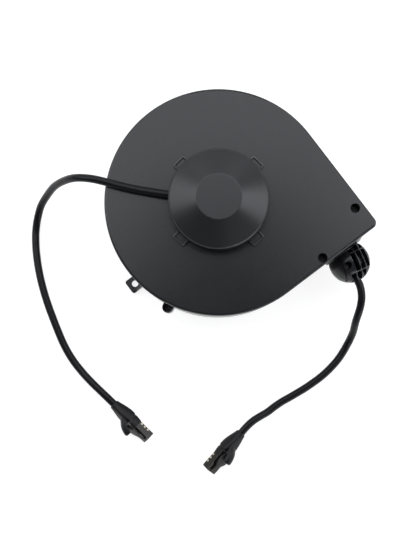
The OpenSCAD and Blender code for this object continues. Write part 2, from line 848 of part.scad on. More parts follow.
module rear_flange() {
  color(white_plastic)
    difference() {
      union() {
        boss([0, 0], flange_r, drum_z0, wind_z0);
        boss([0, 0], bush_r + hub_wall, drum_z0, drum_z0 + hub_h);
      }
      boss([0, 0], bush_r + slip, drum_z0 - overcut, drum_z0 + hub_h + overcut);
      flange_screw_holes(drum_z0 - overcut, wind_z0 + overcut);
      for (i = [0 : flange_screw_n - 1])
        rotate([0, 0, flange_screw_from + i * 360 / flange_screw_n])
          boss([flange_screw_r, 0], flange_head_r + 0.1, drum_z0 - overcut, drum_z0 + flange_head_h);
    }
}

// Front flange with the ratchet: two toothed sectors and two plain ones
module front_flange() {
  root_r = ratchet_r - tooth_depth;
  bore_r = rotor_foot_r + 4;
  color(white_plastic)
    difference() {
      union() {
        boss([0, 0], flange_r, wind_z1, drum_z1);
        boss([0, 0], root_r, drum_z1 - 0.1, ratchet_top);
        translate([0, 0, drum_z1 - 0.1])
          linear_extrude(ratchet_top - drum_z1 + 0.1)
            for (half = [0, 180], i = [0 : sector_teeth - 1])
              rotate(plain_from + plain_deg + half + i * tooth_deg)
                polygon([[root_r - 1, 0], [ratchet_r, 0], [(root_r + ratchet_r) / 2 * cos(tooth_deg * 0.6),
                  (root_r + ratchet_r) / 2 * sin(tooth_deg * 0.6)],
                  [(root_r - 1) * cos(tooth_deg * 0.9), (root_r - 1) * sin(tooth_deg * 0.9)]]);
      }
      boss([0, 0], bore_r, wind_z1 - overcut, ratchet_top + overcut);
      flange_screw_holes(wind_z1 - overcut, drum_z1 + overcut);
      for (i = [0 : flange_screw_n - 1])
        rotate([0, 0, flange_screw_from + i * 360 / flange_screw_n])
          boss([flange_screw_r, 0], flange_head_r + 0.1, drum_z1 - flange_head_h, drum_z1 + overcut);
    }
}

module flange_screw() {
  difference() {
    cylinder(r = flange_head_r, h = flange_head_h);
    translate([0, 0, -overcut])
      cross_recess(1, 0.7 + overcut);
  }
  cylinder(r = flange_shank_r, h = flange_screw_len);
}

module rear_flange_screws() {
  color(steel)
    for (i = [0 : flange_screw_n - 1])
      rotate([0, 0, flange_screw_from + i * 360 / flange_screw_n])
        translate([flange_screw_r, 0, drum_z0])
          flange_screw();
}

module front_flange_screws() {
  color(steel)
    for (i = [0 : flange_screw_n - 1])
      rotate([0, 0, flange_screw_from + i * 360 / flange_screw_n])
        translate([flange_screw_r, 0, drum_z1])
          mirror([0, 0, 1])
            flange_screw();
}

// Spiral strip from the arbor to the barrel wall, in the rear part of the barrel
module mainspring() {
  r0 = arbor_r + 1;
  r1 = barrel_in - spring_t / 2 - 0.1;
  steps = spring_turns * 20;
  function spiral(r_add, i) =
    let (a = 360 * spring_turns * i / steps, r = r0 + (r1 - r0) * i / steps + r_add)
    [r * cos(a), r * sin(a)];
  color(steel)
    translate([0, 0, drum_z0 + hub_h + 2])
      linear_extrude(front_bush_z - drum_z0 - hub_h - 4)
        polygon(concat([for (i = [0 : steps]) spiral(-spring_t / 2, i)],
          [for (i = [steps : -1 : 0]) spiral(spring_t / 2, i)]));
}

// ---------------------------------------------------------------- slip ring

module ring_rotor() {
  color(white_plastic)
    difference() {
      union() {
        boss([0, 0], rotor_base_r, rotor_z, rotor_z + rotor_base_t);
        boss([0, 0], rotor_foot_r, rotor_z, rotor_foot_top);
        boss([0, 0], rotor_neck_r, rotor_z, rotor_top);
      }
      // room for the arbor's end and its retaining ring, and a bore for the cores
      boss([0, 0], bush_r + clear, rotor_z - overcut, arbor_top + 1.5);
      boss([0, 0], rotor_bore_r, rotor_z, rotor_top - 2);
      rotate([0, 0, tail_angle])
        translate([0, 0, tail_z])
          rotate([0, 90, 0])
            cylinder(r = cable_r + slip, h = rotor_base_r + overcut);
    }
}

module slip_rings() {
  color(brass)
    for (i = [0 : ring_n - 1])
      translate([0, 0, ring_z0 + i * ring_pitch])
        difference() {
          cylinder(r = ring_r, h = ring_t);
          translate([0, 0, -overcut])
            cylinder(r = rotor_neck_r + slip, h = ring_t + 2 * overcut);
        }
}

// Places its children on the fixed lead's line: X outwards from the drum's axis
module along_lead() {
  rotate([0, 0, lead_angle])
    translate([0, lead_offset, 0])
      children();
}

module brush_block() {
  color(black)
    along_lead()
      difference() {
        translate([block_in, -block_w / 2 - lead_offset, casing_h])
          cube([block_len, block_w, block_top - casing_h]);
        for (i = [0 : ring_n - 1])
          translate([block_in - overcut, -lead_offset, brush_z(i)])
            rotate([0, 90, 0])
              cylinder(r = brush_r + slip, h = 3 + overcut);
      }
}

function brush_z(i) = ring_z0 + i * ring_pitch + ring_t / 2;

module brushes() {
  color(brass)
    along_lead()
      for (i = [0 : ring_n - 1])
        translate([ring_r + brush_gap, -lead_offset, brush_z(i)])
          rotate([0, 90, 0])
            cylinder(r = brush_r, h = block_in + 3 - ring_r - brush_gap);
}

module lead_clamp() {
  color(black)
    along_lead()
      difference() {
        translate([clamp_in, -clamp_w / 2, casing_h])
          cube([clamp_len, clamp_w, clamp_top - casing_h]);
        translate([clamp_in - overcut, 0, lead_z])
          rotate([0, 90, 0])
            cylinder(r = cable_r + slip, h = clamp_len + 2 * overcut);
        translate([clamp_in - overcut, -cable_r - slip, casing_h - overcut])
          cube([clamp_len + 2 * overcut, 2 * (cable_r + slip), lead_z - casing_h + overcut]);
        for (side = [-1, 1])
          translate([clamp_in + clamp_len / 2, side * clamp_screw_y, casing_h - overcut])
            cylinder(r = clamp_shank_r + slip, h = clamp_top);
      }
}

module lead_clamp_screws() {
  color(steel)
    along_lead()
      for (side = [-1, 1])
        translate([clamp_in + clamp_len / 2, side * clamp_screw_y, face_under + 0.6]) {
          cylinder(r = clamp_shank_r, h = clamp_top - face_under - 0.6);
          translate([0, 0, clamp_top - face_under - 0.6])
            cylinder(r = clamp_head_r, h = clamp_head_h);
        }
}

// Stretch of the fixed lead under the cap, from the brush block to the cap's side
module lead_tail() {
  color(cable_black)
    along_lead()
      translate([block_in + block_len, 0, lead_z])
        rotate([0, 90, 0])
          cylinder(r = cable_r, h = cap_r - block_in - block_len);
}

// ---------------------------------------------------------------- cable on the drum

// Inner end of the wound cable, through the barrel wall into the rotor's foot
module drum_tail() {
  color(cable_black)
    rotate([0, 0, tail_angle])
      translate([bush_r + 1, 0, tail_z])
        rotate([0, 90, 0])
          cylinder(r = cable_r, h = barrel_r - clear - bush_r - 1);
}

// The full layers, as one plain core under the last layer
module cable_core() {
  color(cable_black)
    difference() {
      boss([0, 0], core_r, wind_z0 + 0.1, wind_z1 - 0.1);
      boss([0, 0], barrel_r + 0.1, wind_z0 - overcut, wind_z1 + overcut);
    }
}

// The last layer: an open helix that ends on the cable line. Both ends run
// straight for one cable diameter.
turn_rings = 24;
turn_pitch = cable_d + turn_space;
turns = min(last_turns, floor((outlet_z - wind_z0 - cable_r - 0.1) / turn_pitch));
turn_steps = turns * turn_rings;
core_r = layer_r * cos(180 / turn_rings) - cable_r - 0.2;
function turn_point(i) =
  let (a = tangent_angle + 360 * i / turn_rings)
  [layer_r * cos(a), layer_r * sin(a), outlet_z - turn_pitch * i / turn_rings];
turn_start = turn_point(turn_steps);
turn_start_dir = unit(turn_point(turn_steps) - turn_point(turn_steps - 0.1));
turn_route = concat(
  [turn_start + cable_d * turn_start_dir],
  [for (i = [turn_steps : -1 : 0]) turn_point(i)],
  [pull_point(cable_d)]
);
turn_gap = min([
  for (i = [0 : turn_steps], j = [i + turn_rings / 2 : turn_steps])
    norm(turn_point(i) - turn_point(j)) - cable_d
]);
echo(least_gap_between_turns = turn_gap);

module cable_turns() {
  color(cable_black)
    tube(turn_route, cable_r, 6);
}

// ---------------------------------------------------------------- pawl

// Outline of the pawl: a round hub and a nose that points to the drum's axis
module pawl_outline() {
  circle(pawl_hub_r);
  polygon([[0, pawl_hub_r - 0.2], [-pawl_len, pawl_tip_w / 2], [-pawl_len, -pawl_tip_w / 2],
    [0, -pawl_hub_r + 0.2]]);
}

module pawl() {
  color(steel)
    translate([pawl_c.x, pawl_c.y, pawl_z])
      rotate([0, 0, pawl_angle])
        difference() {
          linear_extrude(pawl_t)
            pawl_outline();
          translate([0, 0, -overcut])
            cylinder(r = pawl_pin_r + running_gap, h = pawl_t + 2 * overcut);
        }
}

module pawl_pin() {
  color(steel)
    translate([pawl_c.x, pawl_c.y, 0]) {
      boss([0, 0], pawl_pin_r, pawl_z - 0.2, face_under + pin_sink);
      boss([0, 0], pin_head_r, pawl_z - 0.2 - pin_head_t, pawl_z - 0.2);
    }
}

// Light centring spring: two turns round the pin over the pawl
module pawl_spring() {
  steps = coil_turns * 12;
  rise = face_under - ratchet_top - 2 * coil_wire_r - 0.6;
  color(steel)
    translate([pawl_c.x, pawl_c.y, ratchet_top + coil_wire_r + 0.3])
      tube([for (i = [0 : steps])
        [coil_r * cos(30 * i), coil_r * sin(30 * i), rise * i / steps]], coil_wire_r, 6);
}

// ---------------------------------------------------------------- outlet and ball

// Places its children on the cable line: X out of the casing, at the tangent point
module along_cable() {
  translate(pull_point(0))
    rotate([0, 0, pull_angle])
      children();
}

module outlet_guide() {
  color(black)
    difference() {
      translate([outlet_x, 0, outlet_z])
        rotate([90, 0, 0]) {
          translate([0, 0, inner_r - 8])
            cylinder(r = guide_r - 3, h = 8);
          translate([0, 0, inner_r - guide_flange])
            cylinder(r = guide_r + 2, h = guide_flange);
          translate([0, 0, inner_r - guide_flange])
            cylinder(r = guide_r, h = guide_flange + wall + collar_out - guide_sink);
        }
      boss(screw_b, front_boss_r + fit, 0, casing_h);
      translate([ball_c.x, ball_c.y, outlet_z])
        sphere(r = seat_r);
      along_cable()
        rotate([0, 90, 0]) {
          translate([0, 0, pull_len - 30])
            cylinder(r = cable_r + throat_gap, h = 30);
          translate([0, 0, pull_len - 28])
            cylinder(r1 = cable_r + throat_gap + 5, r2 = cable_r + throat_gap, h = 7);
        }
    }
}

// One half of the ball stop, above its split plane. Both halves are the same part.
module ball_half() {
  difference() {
    sphere(r = ball_r);
    ball_groove();
    translate([-2 * ball_r, -2 * ball_r, -2 * ball_r])
      cube([4 * ball_r, 4 * ball_r, 2 * ball_r + slip / 2]);
    translate([-2 * ball_r, 0, 0])
      rotate([0, 90, 0])
        cylinder(r = cable_r + slip, h = 4 * ball_r);
    difference() {
      pockets();
      translate([ball_screw.x, -ball_screw.y, 0])
        cylinder(r = ball_post_r, h = ball_post_h);
    }
    translate([ball_screw.x, ball_screw.y, -overcut])
      cylinder(r = ball_shank_r + slip, h = ball_r);
    translate([ball_screw.x, ball_screw.y, ball_recess_z])
      cylinder(r = ball_recess_r, h = ball_r);
    translate([ball_screw.x, -ball_screw.y, -overcut])
      cylinder(r = ball_shank_r + slip, h = ball_post_h - 1.5);
  }
}

// Shallow groove over the screw's side of the ball
module ball_groove() {
  difference() {
    translate([-ball_r, groove_y - groove_w / 2, pocket_floor])
      cube([2 * ball_r, groove_w, ball_r]);
    sphere(r = ball_r - groove_deep);
  }
}

// Cells between the long ribs, in three rows along the cable, and one cell beside
// the nose
module pockets() {
  cell = rib_pitch - rib_t;
  rows = [
    [-ball_r - 1, cross_ribs[0] - rib_t / 2],
    [cross_ribs[0] + rib_t / 2, cross_ribs[1] - rib_t / 2],
    [cross_ribs[1] + rib_t / 2, ball_r + 1]
  ];
  for (row = rows, i = [0 : rib_n - 1]) {
    y0 = rib_first + i * rib_pitch + rib_t / 2;
    pocket(row[0], row[1], y0, y0 + cell);
  }
  pocket(rows[2][0], rows[2][1], rib_first - rib_t / 2 - cell, rib_first - rib_t / 2);
}

// One cell from above down to the pocket floor, and down the ball's rim
module pocket(x0, x1, y0, y1) {
  difference() {
    translate([x0, y0, 1])
      cube([x1 - x0, y1 - y0, ball_r]);
    cylinder(r = ball_r - pocket_rim, h = pocket_floor);
    rotate([0, 90, 0])
      translate([0, 0, -ball_r])
        cylinder(r = cable_r + 1.2, h = 2 * ball_r);
  }
}

module at_ball() {
  along_cable()
    translate([pull_len, 0, 0])
      rotate([ball_roll, 0, 0])
        children();
}

module ball_upper_half() {
  color(black)
    at_ball()
      ball_half();
}

module ball_lower_half() {
  color(black)
    at_ball()
      rotate([180, 0, 0])
        ball_half();
}

module ball_screws() {
  color(steel)
    at_ball()
      for (turn = [0, 180])
        rotate([turn, 0, 0])
          translate([ball_screw.x, ball_screw.y, ball_recess_z]) {
            difference() {
              cylinder(r = ball_head_r, h = ball_head_h);
              translate([0, 0, ball_head_h - 0.9])
                cross_recess(1.3, 0.9 + overcut);
            }
            translate([0, 0, -ball_screw_len])
              cylinder(r = ball_shank_r, h = ball_screw_len);
          }
}

// Straight stretch of the cable, from the drum through the ball
module cable_run() {
  color(cable_black)
    along_cable()
      translate([cable_d + part_gap, 0, 0])
        rotate([0, 90, 0])
          cylinder(r = cable_r, h = pull_len + ball_r - cable_d - part_gap);
}

// ---------------------------------------------------------------- free cords

module fixed_lead() {
  color(cable_black)
    tube(lead_route, cable_r);
}

module reel_cord() {
  color(cable_black)
    tube(reel_route, cable_r);
}

// ---------------------------------------------------------------- plugs

module at_lead_plug() {
  translate(lead_plug_at)
    rotate([0, 0, lead_plug_heading])
      rotate([lead_plug_roll, 0, 0])
        children();
}

module at_reel_plug() {
  translate(reel_plug_at)
    rotate([0, 0, reel_plug_heading])
      rotate([reel_plug_roll, 0, 0])
        children();
}

module slab(x0, x1, size) {
  translate([x0, -size.x / 2, -size.y / 2])
    cube([x1 - x0, size.x, size.y]);
}

// Side outline extruded to a width, centred on the plug's middle plane
module side_plate(w) {
  translate([0, w / 2, 0])
    rotate([90, 0, 0])
      linear_extrude(w)
        children();
}

module boot() {
  hood_x = boot_len - 0.5;
  color(boot_grey)
    difference() {
      union() {
        hull() {
          rotate([0, 90, 0])
            cylinder(r = boot_tail_r, h = 1.5, $fn = 24);
          slab(boot_mid_x, boot_mid_x + 1, boot_mid);
          slab(boot_len - 7, boot_len - 6, boot_front);
        }
        slab(boot_len - 7, boot_len, boot_front);
        side_plate(8)
          polygon([[6, 3.4], [10, 4.9], [14.5, 6.9], [19, 9.2], [23, 11.4], [26, 13],
            [hood_x, 12.2], [hood_x, 8.6], [18.6, 7.4], [17, 4.4], [16, 3.4]]);
      }
      // hollow of the hood, slot for the latch, seat of the plug, bore for the cord
      side_plate(5.2)
        polygon([[17.6, 6], [19.4, 8], [24, 10.4], [boot_len + 1, 12], [boot_len + 1, 4], [17.6, 4]]);
      translate([17.4, -4.2, plug_h / 2 - 0.2])
        cube([boot_len, 8.4, 4.1]);
      slab(plug_x0, boot_len + overcut, [plug_w + 0.2, plug_h + 0.2]);
      translate([-overcut, 0, 0])
        rotate([0, 90, 0])
          cylinder(r = cable_r + slip, h = plug_x0 + 2 * overcut);
    }
}

// Clear plug: a hollow block with slots for the contacts and windows behind them
module plug() {
  color(smoke)
    difference() {
      plug_block();
      translate([plug_x0 - overcut, -4.7, cavity_z[0]])
        cube([slot_x - plug_x0 + overcut + 1, 9.4, cavity_z[1] - cavity_z[0]]);
      for (i = [0 : contact_n - 1])
        translate([slot_x, contact_y(i) - contact_slot_w / 2, -plug_h])
          cube([plug_len, contact_slot_w, plug_h + cavity_z[0] + 0.6]);
      for (i = [0 : window_n - 1])
        translate([window_x(i), -window_w / 2, -plug_h])
          cube([window_len, window_w, plug_h + cavity_z[0] + 0.1]);
      translate([hinge_x, 0, hinge_z])
        rotate([90, 0, 0])
          cylinder(r = knuckle_r + running_gap, h = knuckle_w + 0.4, center = true);
    }
}

// Block of the plug, with rounded front corners
module plug_block() {
  slab(plug_x0, plug_x1 - plug_corner_r, [plug_w, plug_h]);
  slab(plug_x1 - plug_corner_r, plug_x1, [plug_w - 2 * plug_corner_r, plug_h]);
  for (side = [-1, 1])
    translate([plug_x1 - plug_corner_r, side * (plug_w / 2 - plug_corner_r), -plug_h / 2])
      cylinder(r = plug_corner_r, h = plug_h);
}

// Rear end of window i, counted from the front
function window_x(i) = slot_x - window_gap - window_len - i * window_pitch;

// Comb that lines up the cores: a plate in the cavity with teeth in the windows
module load_bar() {
  color(white_plastic) {
    translate([window_x(window_n - 1) - 0.5, -4.6, cavity_z[0] + slip])
      cube([slot_x - 0.2 - window_x(window_n - 1) + 0.5, 9.2, 0.45]);
    for (i = [0 : window_n - 1])
      translate([window_x(i) + fit, -window_w / 2 + fit, -plug_h / 2 + 0.3])
        cube([window_len - 2 * fit, window_w - 2 * fit, plug_h / 2 - 0.3 + cavity_z[0] + slip]);
    for (i = [0 : window_n - 1])
      translate([window_x(i) + fit, -4.6, cavity_z[0]])
        cube([window_len - 2 * fit, 9.2, 0.2]);
  }
}

function contact_y(i) = (i - (contact_n - 1) / 2) * contact_pitch;

module contacts() {
  color(brass)
    for (i = [0 : contact_n - 1])
      translate([plug_x1 - contact_len - 0.4, contact_y(i) - contact_w / 2, -plug_h / 2 + 0.15])
        cube([contact_len, contact_w, plug_h / 2 + cavity_z[0] + 0.6 - 0.15]);
}

// The cord's end inside the boot, and its eight cores inside the plug
module wires() {
  color("saddlebrown") {
    rotate([0, 90, 0])
      cylinder(r = cable_r, h = plug_x0);
    for (i = [0 : contact_n - 1])
      translate([plug_x0 + slip, contact_y(i), core_z])
        rotate([0, 90, 0])
          cylinder(r = wire_r, h = slot_x - 0.3 - plug_x0 - slip, $fn = 24);
  }
}

// Sprung latch: a knuckle at the front and a lever with a round thumb pad
module latch() {
  pad_x = plug_x0 + 7.5;
  pad_r = 3.5;
  arm_w = 4.6;
  color(boot_grey) {
    translate([hinge_x, 0, hinge_z])
      rotate([90, 0, 0])
        cylinder(r = knuckle_r, h = knuckle_w, center = true);
    intersection() {
      side_plate(2 * pad_r)
        polygon([[hinge_x + 0.5, hinge_z + 0.3], [hinge_x, hinge_z + 1.1], [hinge_x - 2, hinge_z + 1.6],
          [pad_x - pad_r - 1, hinge_z + 3.2], [pad_x - pad_r - 1, hinge_z + 2.1],
          [hinge_x - 2, hinge_z + 0.5], [hinge_x - 0.6, hinge_z + 0.1]]);
      linear_extrude(3 * plug_h)
        union() {
          translate([pad_x, 0])
            circle(pad_r);
          translate([pad_x, -pad_r])
            square([8, 2 * pad_r]);
          translate([pad_x, -arm_w / 2])
            square([hinge_x - 1 - pad_x, arm_w]);
          translate([hinge_x - 1.5, -knuckle_w / 2])
            square([2.4, knuckle_w]);
        }
    }
  }
}

module lead_boot() {
  at_lead_plug()
    boot();
}

module lead_plug() {
  at_lead_plug()
    plug();
}

module lead_contacts() {
  at_lead_plug()
    contacts();
}

module lead_wires() {
  at_lead_plug()
    wires();
}

module lead_load_bar() {
  at_lead_plug()
    load_bar();
}

module lead_latch() {
  at_lead_plug()
    latch();
}

module reel_boot() {
  at_reel_plug()
    boot();
}

module reel_plug() {
  at_reel_plug()
    plug();
}

module reel_contacts() {
  at_reel_plug()
    contacts();
}

module reel_wires() {
  at_reel_plug()
    wires();
}

module reel_load_bar() {
  at_reel_plug()
    load_bar();
}

module reel_latch() {
  at_reel_plug()
    latch();
}

// ---------------------------------------------------------------- output

rear_shell();
front_shell();
hub_cap();
corner_screws();
rim_screw();
arbor();
arbor_screws();
retaining_ring();
outlet_guide();
brush_block();
brushes();
lead_clamp();
lead_clamp_screws();
lead_tail();
pawl_pin();
pawl_spring();
pawl();
barrel();
rear_flange();
front_flange();
rear_flange_screws();
front_flange_screws();
rear_bush();
front_bush();
mainspring();
ring_rotor();
slip_rings();
drum_tail();
cable_core();
cable_turns();
cable_run();
ball_upper_half();
ball_lower_half();
ball_screws();
fixed_lead();
lead_boot();
lead_plug();
lead_contacts();
lead_wires();
lead_load_bar();
lead_latch();
reel_cord();
reel_boot();
reel_plug();
reel_contacts();
reel_wires();
reel_load_bar();
reel_latch();
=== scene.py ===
# %% [markdown]
# # A spring-driven reel for a network cord
# The casing, the hub cap, the ball stop and the plugs come from the engineering model, which is loaded here
# as a fixed frame. This lesson adds what the eye sees: cords with a natural lie, soft moulded boots, rounded
# edges, and a finish for every material. Everything is in metres, and the reel lies on its back.

# %% Load the frame
import json
import math
import bmesh
import bpy
from mathutils import Matrix, Vector


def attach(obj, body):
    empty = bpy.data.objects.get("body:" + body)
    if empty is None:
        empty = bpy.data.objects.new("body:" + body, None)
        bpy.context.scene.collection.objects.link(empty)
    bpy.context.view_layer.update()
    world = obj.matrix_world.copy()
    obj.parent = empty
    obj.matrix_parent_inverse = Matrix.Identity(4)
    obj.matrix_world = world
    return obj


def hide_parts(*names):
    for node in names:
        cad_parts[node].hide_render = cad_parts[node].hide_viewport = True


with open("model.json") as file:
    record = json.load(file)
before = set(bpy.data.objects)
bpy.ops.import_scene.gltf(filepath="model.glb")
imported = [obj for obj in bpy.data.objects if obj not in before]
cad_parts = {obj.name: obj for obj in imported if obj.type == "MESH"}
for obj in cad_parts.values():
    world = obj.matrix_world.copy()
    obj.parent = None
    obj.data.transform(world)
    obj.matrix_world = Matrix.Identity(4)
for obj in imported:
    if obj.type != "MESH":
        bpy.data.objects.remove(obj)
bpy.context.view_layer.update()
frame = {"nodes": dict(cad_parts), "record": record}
nodes = frame["nodes"]
body_of = {name: body for body, held in frame["record"]["behaviour"]["bodies"].items() for name in held}
slot_of = {row["node"]: row["material_slot"] for row in frame["record"]["subparts"]}

# %% [markdown]
# ## The camera
# A product shot of a flat object is taken from almost straight above. The camera could be aimed with angles,
# but axes are clearer: where it looks and which way is up in the picture. The third, to the right, is square
# to both.

# %% Camera
CAMERA_PLACE = (-0.070085, -0.079290, 0.812949)
CAMERA_LENS = 61.9  # in millimetres
LOOKS_ALONG = (0.03674, 0.04875, -0.99813)
PICTURE_UP = (0.6007, 0.7971, 0.06105)

looks_along = Vector(LOOKS_ALONG).normalized()
picture_right = looks_along.cross(Vector(PICTURE_UP)).normalized()
picture_up = picture_right.cross(looks_along)
camera_data = bpy.data.cameras.new("studio_camera")
camera_data.lens = CAMERA_LENS
camera = bpy.data.objects.new("studio_camera", camera_data)
turn = Matrix((picture_right, picture_up, -looks_along)).transposed()
camera.matrix_world = Matrix.Translation(CAMERA_PLACE) @ turn.to_4x4()
bpy.context.scene.collection.objects.link(camera)
bpy.context.scene.camera = camera
bpy.context.scene.view_settings.view_transform = "Standard"
print("camera height:", round(camera.location.z, 3), "lens:", camera_data.lens)

# %% [markdown]
# ## The routes of the two cords
# A cord is one length of something springy. It leaves its exit straight, falls under its own weight, and then
# lies on the table in wide curves. The points below are the route of the cord's middle, in millimetres. They
# are listed close together where the cord bends and further apart where it runs on.

# %% Routes
CORD_THICKNESS = 0.0064

LEAD_ROUTE = [
    (-28.31, 27.156, 72.2), (-33.867, 32.911, 72.2), (-39.4, 38.7, 71.9), (-44.5, 44.1, 71.7),
    (-49.5, 49.7, 71.6), (-54.3, 55.5, 71.6), (-58.9, 61.4, 71.6), (-63.5, 67.4, 71.3),
    (-68.2, 73.1, 70.3), (-73.1, 78.3, 68), (-77.9, 82.8, 64.4), (-82.3, 86.3, 59.5), (-86.4, 89, 53.8),
    (-90.4, 91.2, 47.9), (-94.3, 93, 41.7), (-98.3, 94.2, 35.5), (-102.4, 94.7, 29.3),
    (-106.8, 94.7, 23.2), (-111.6, 94.3, 17.4), (-116.8, 93, 12.2), (-122.2, 90.1, 7.9),
    (-131.6, 82.3, 3.9), (-139.7, 72.1, 3.2), (-146.5, 61.1, 3.2), (-152.5, 49.5, 3.2),
    (-157.6, 37.6, 3.2), (-162, 25.3, 3.2), (-165.7, 12.9, 3.2), (-169.1, 0.3, 3.2), (-172, -12.3, 3.2),
    (-173.5, -25.2, 3.4), (-173.3, -38.2, 4.2), (-171.8, -51, 6.1), (-169.6, -63.7, 7.6),
    (-168.401, -70.479, 8), (-167.4, -76.8, 8),
]
REEL_ROUTE = [
    (54.652, -117.359, 34), (53.746, -121.255, 34), (49.9, -128.7, 33.5), (45.1, -134.2, 32.1),
    (39.9, -138.7, 29.3), (35.3, -142.5, 25), (32, -146.1, 19.4), (28.9, -149.6, 13.6),
    (24.5, -152.9, 8.6), (18.9, -156.1, 5.1), (12.3, -159.1, 3.4), (5.3, -161.4, 3.3), (-2, -162.9, 3.4),
    (-9.4, -163.9, 3.3), (-16.8, -164.3, 3.2), (-24.2, -164.1, 3.2), (-31.6, -163.7, 3.3),
    (-39, -162.9, 3.3), (-46.4, -162, 3.3), (-53.8, -161, 3.2), (-61.2, -160.6, 3.3), (-68.5, -160.5, 4.2),
    (-75.7, -159.5, 5.9), (-82.9, -158.8, 7.4), (-89.918, -159.379, 8), (-96.2, -160.6, 8),
]
print("points in the routes:", len(LEAD_ROUTE), len(REEL_ROUTE))

# %% [markdown]
# ## Three small tools
# An operator works on whatever is selected, and the frame arrives with its pieces selected. Each step could
# begin with the same lines, but three small tools say it once: clear the bench, take up one piece, and let a
# finished piece stand for the one in the frame.

# %% Tools
def rest():
    """Object mode with nothing selected, the start of every step."""
    if bpy.context.object and bpy.context.object.mode != "OBJECT":
        bpy.ops.object.mode_set(mode="OBJECT")
    bpy.ops.object.select_all(action="DESELECT")


def wake(piece):
    """Makes the piece the only selected and active one."""
    rest()
    piece.select_set(True)
    bpy.context.view_layer.objects.active = piece


def stand_for(piece, node):
    """Lets the piece ride and be seen in the place of the node."""
    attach(piece, body_of[node])
    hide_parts(node)


rest()
print("selected after a rest:", len(bpy.context.selected_objects))

# %% [markdown]
# ## The cords as round tubes
# A cord could be extruded ring by ring, but a smooth curve with a round section bends evenly through its
# points. The curve becomes a mesh at the end, which keeps its size plain to every tool. The same line without
# a section gives the length of the cord.

# %% Cords
def smooth_line(name, places, steps):
    """A curve that runs smoothly through the places, with so many steps from each one to the next."""
    line = bpy.data.curves.new(name, "CURVE")
    line.dimensions = "3D"
    spline = line.splines.new("BEZIER")
    spline.bezier_points.add(len(places) - 1)
    for knot, place in zip(spline.bezier_points, places):
        knot.co = place
        knot.handle_left_type = knot.handle_right_type = "AUTO"
    spline.resolution_u = steps
    curve = bpy.data.objects.new(name, line)
    bpy.context.scene.collection.objects.link(curve)
    return curve


def lay_tube(name, places, node, sides, steps):
    """A length of cord whose middle runs smoothly through the places, which stands for the node."""
    tube = smooth_line(name, places, steps)
    tube.data.bevel_depth = CORD_THICKNESS / 2
    tube.data.bevel_resolution = (sides - 4) // 2
    tube.data.use_fill_caps = True
    wake(tube)
    bpy.ops.object.convert(target="MESH")
    tube = bpy.context.object
    bpy.ops.object.shade_smooth_by_angle(angle=math.radians(50))
    stand_for(tube, node)
    return tube


def middle_line(places):
    """Points close together along the same smooth line, to measure the cord by."""
    wake(smooth_line("measuring_line", places, 8))
    bpy.ops.object.convert(target="MESH")
    points = [tuple(v.co) for v in bpy.context.object.data.vertices]
    bpy.ops.object.delete()
    return points


cords = {}
for side, name, node, route in (("lead", "lead_cord", "fixed_lead", LEAD_ROUTE),
                                ("reel", "pulled_cord", "reel_cord", REEL_ROUTE)):
    places = [Vector(place) / 1000 for place in route]
    cord = lay_tube(name, places, node, sides=14, steps=8)
    path = middle_line(places)
    length = sum((Vector(b) - Vector(a)).length for a, b in zip(path, path[1:]))
    cords[side] = {"piece": cord, "exit": places[0], "path": path, "length": length}
    print(name, "length", round(length, 4), "faces", len(cord.data.polygons))

# %% [markdown]
# ## Building blocks for shaders
# A material, the world and the floor are all trees of shader nodes. They could be put together link by link,
# but a few small helpers keep each tree short: a node with its values, one step of arithmetic, and a choice
# between two shaders.

# %% Helpers for shader trees
def add_node(tree, kind, values=None, **settings):
    """A node of that kind in the tree, with its settings and the values of its inputs."""
    node = tree.nodes.new(kind)
    for key, value in settings.items():
        setattr(node, key, value)
    for label, value in (values or {}).items():
        node.inputs[label].default_value = value
    return node


def feed(tree, socket, source):
    """Sets a socket to a number, or links it to another socket."""
    if isinstance(source, (int, float)):
        socket.default_value = source
    else:
        tree.links.new(source, socket)


def compute(tree, operation, a, b):
    """One step of arithmetic between two sockets or numbers."""
    node = add_node(tree, "ShaderNodeMath", operation=operation)
    feed(tree, node.inputs[0], a)
    feed(tree, node.inputs[1], b)
    return node.outputs[0]


def seen_by(tree, *rays):
    """1 for light rays of these kinds and 0 for the others."""
    path = add_node(tree, "ShaderNodeLightPath")
    found = path.outputs[rays[0]]
    for ray in rays[1:]:
        found = compute(tree, "MAXIMUM", found, path.outputs[ray])
    return found


def either(tree, choice, first, second):
    """The first shader where the choice is 0, and the second where it is 1."""
    mix = add_node(tree, "ShaderNodeMixShader")
    for socket, source in zip(mix.inputs, (choice, first, second)):
        tree.links.new(source, socket)
    return mix.outputs[0]


def grey(level):
    return level, level, level, 1


print("helpers: add_node, feed, compute, seen_by, either, grey")

# %% [markdown]
# ## The floor of the studio
# The reel lies on a white sweep. A floor could be made white with more light, but that would wash out a dark
# object. So the floor adds its own white, only for the rays that come from the camera, from a reflection or
# through clear plastic, and all other light falls on it as on plain paper.

# %% Floor
FLOOR_SIZE, FLOOR_DROP = 6, 0.0002  # the floor lies a hair below the reel
PAPER, SEEN_PAPER = 0.8, 0.36  # share of the light that the floor sends back, in truth and as seen
OWN_WHITE = 0.84

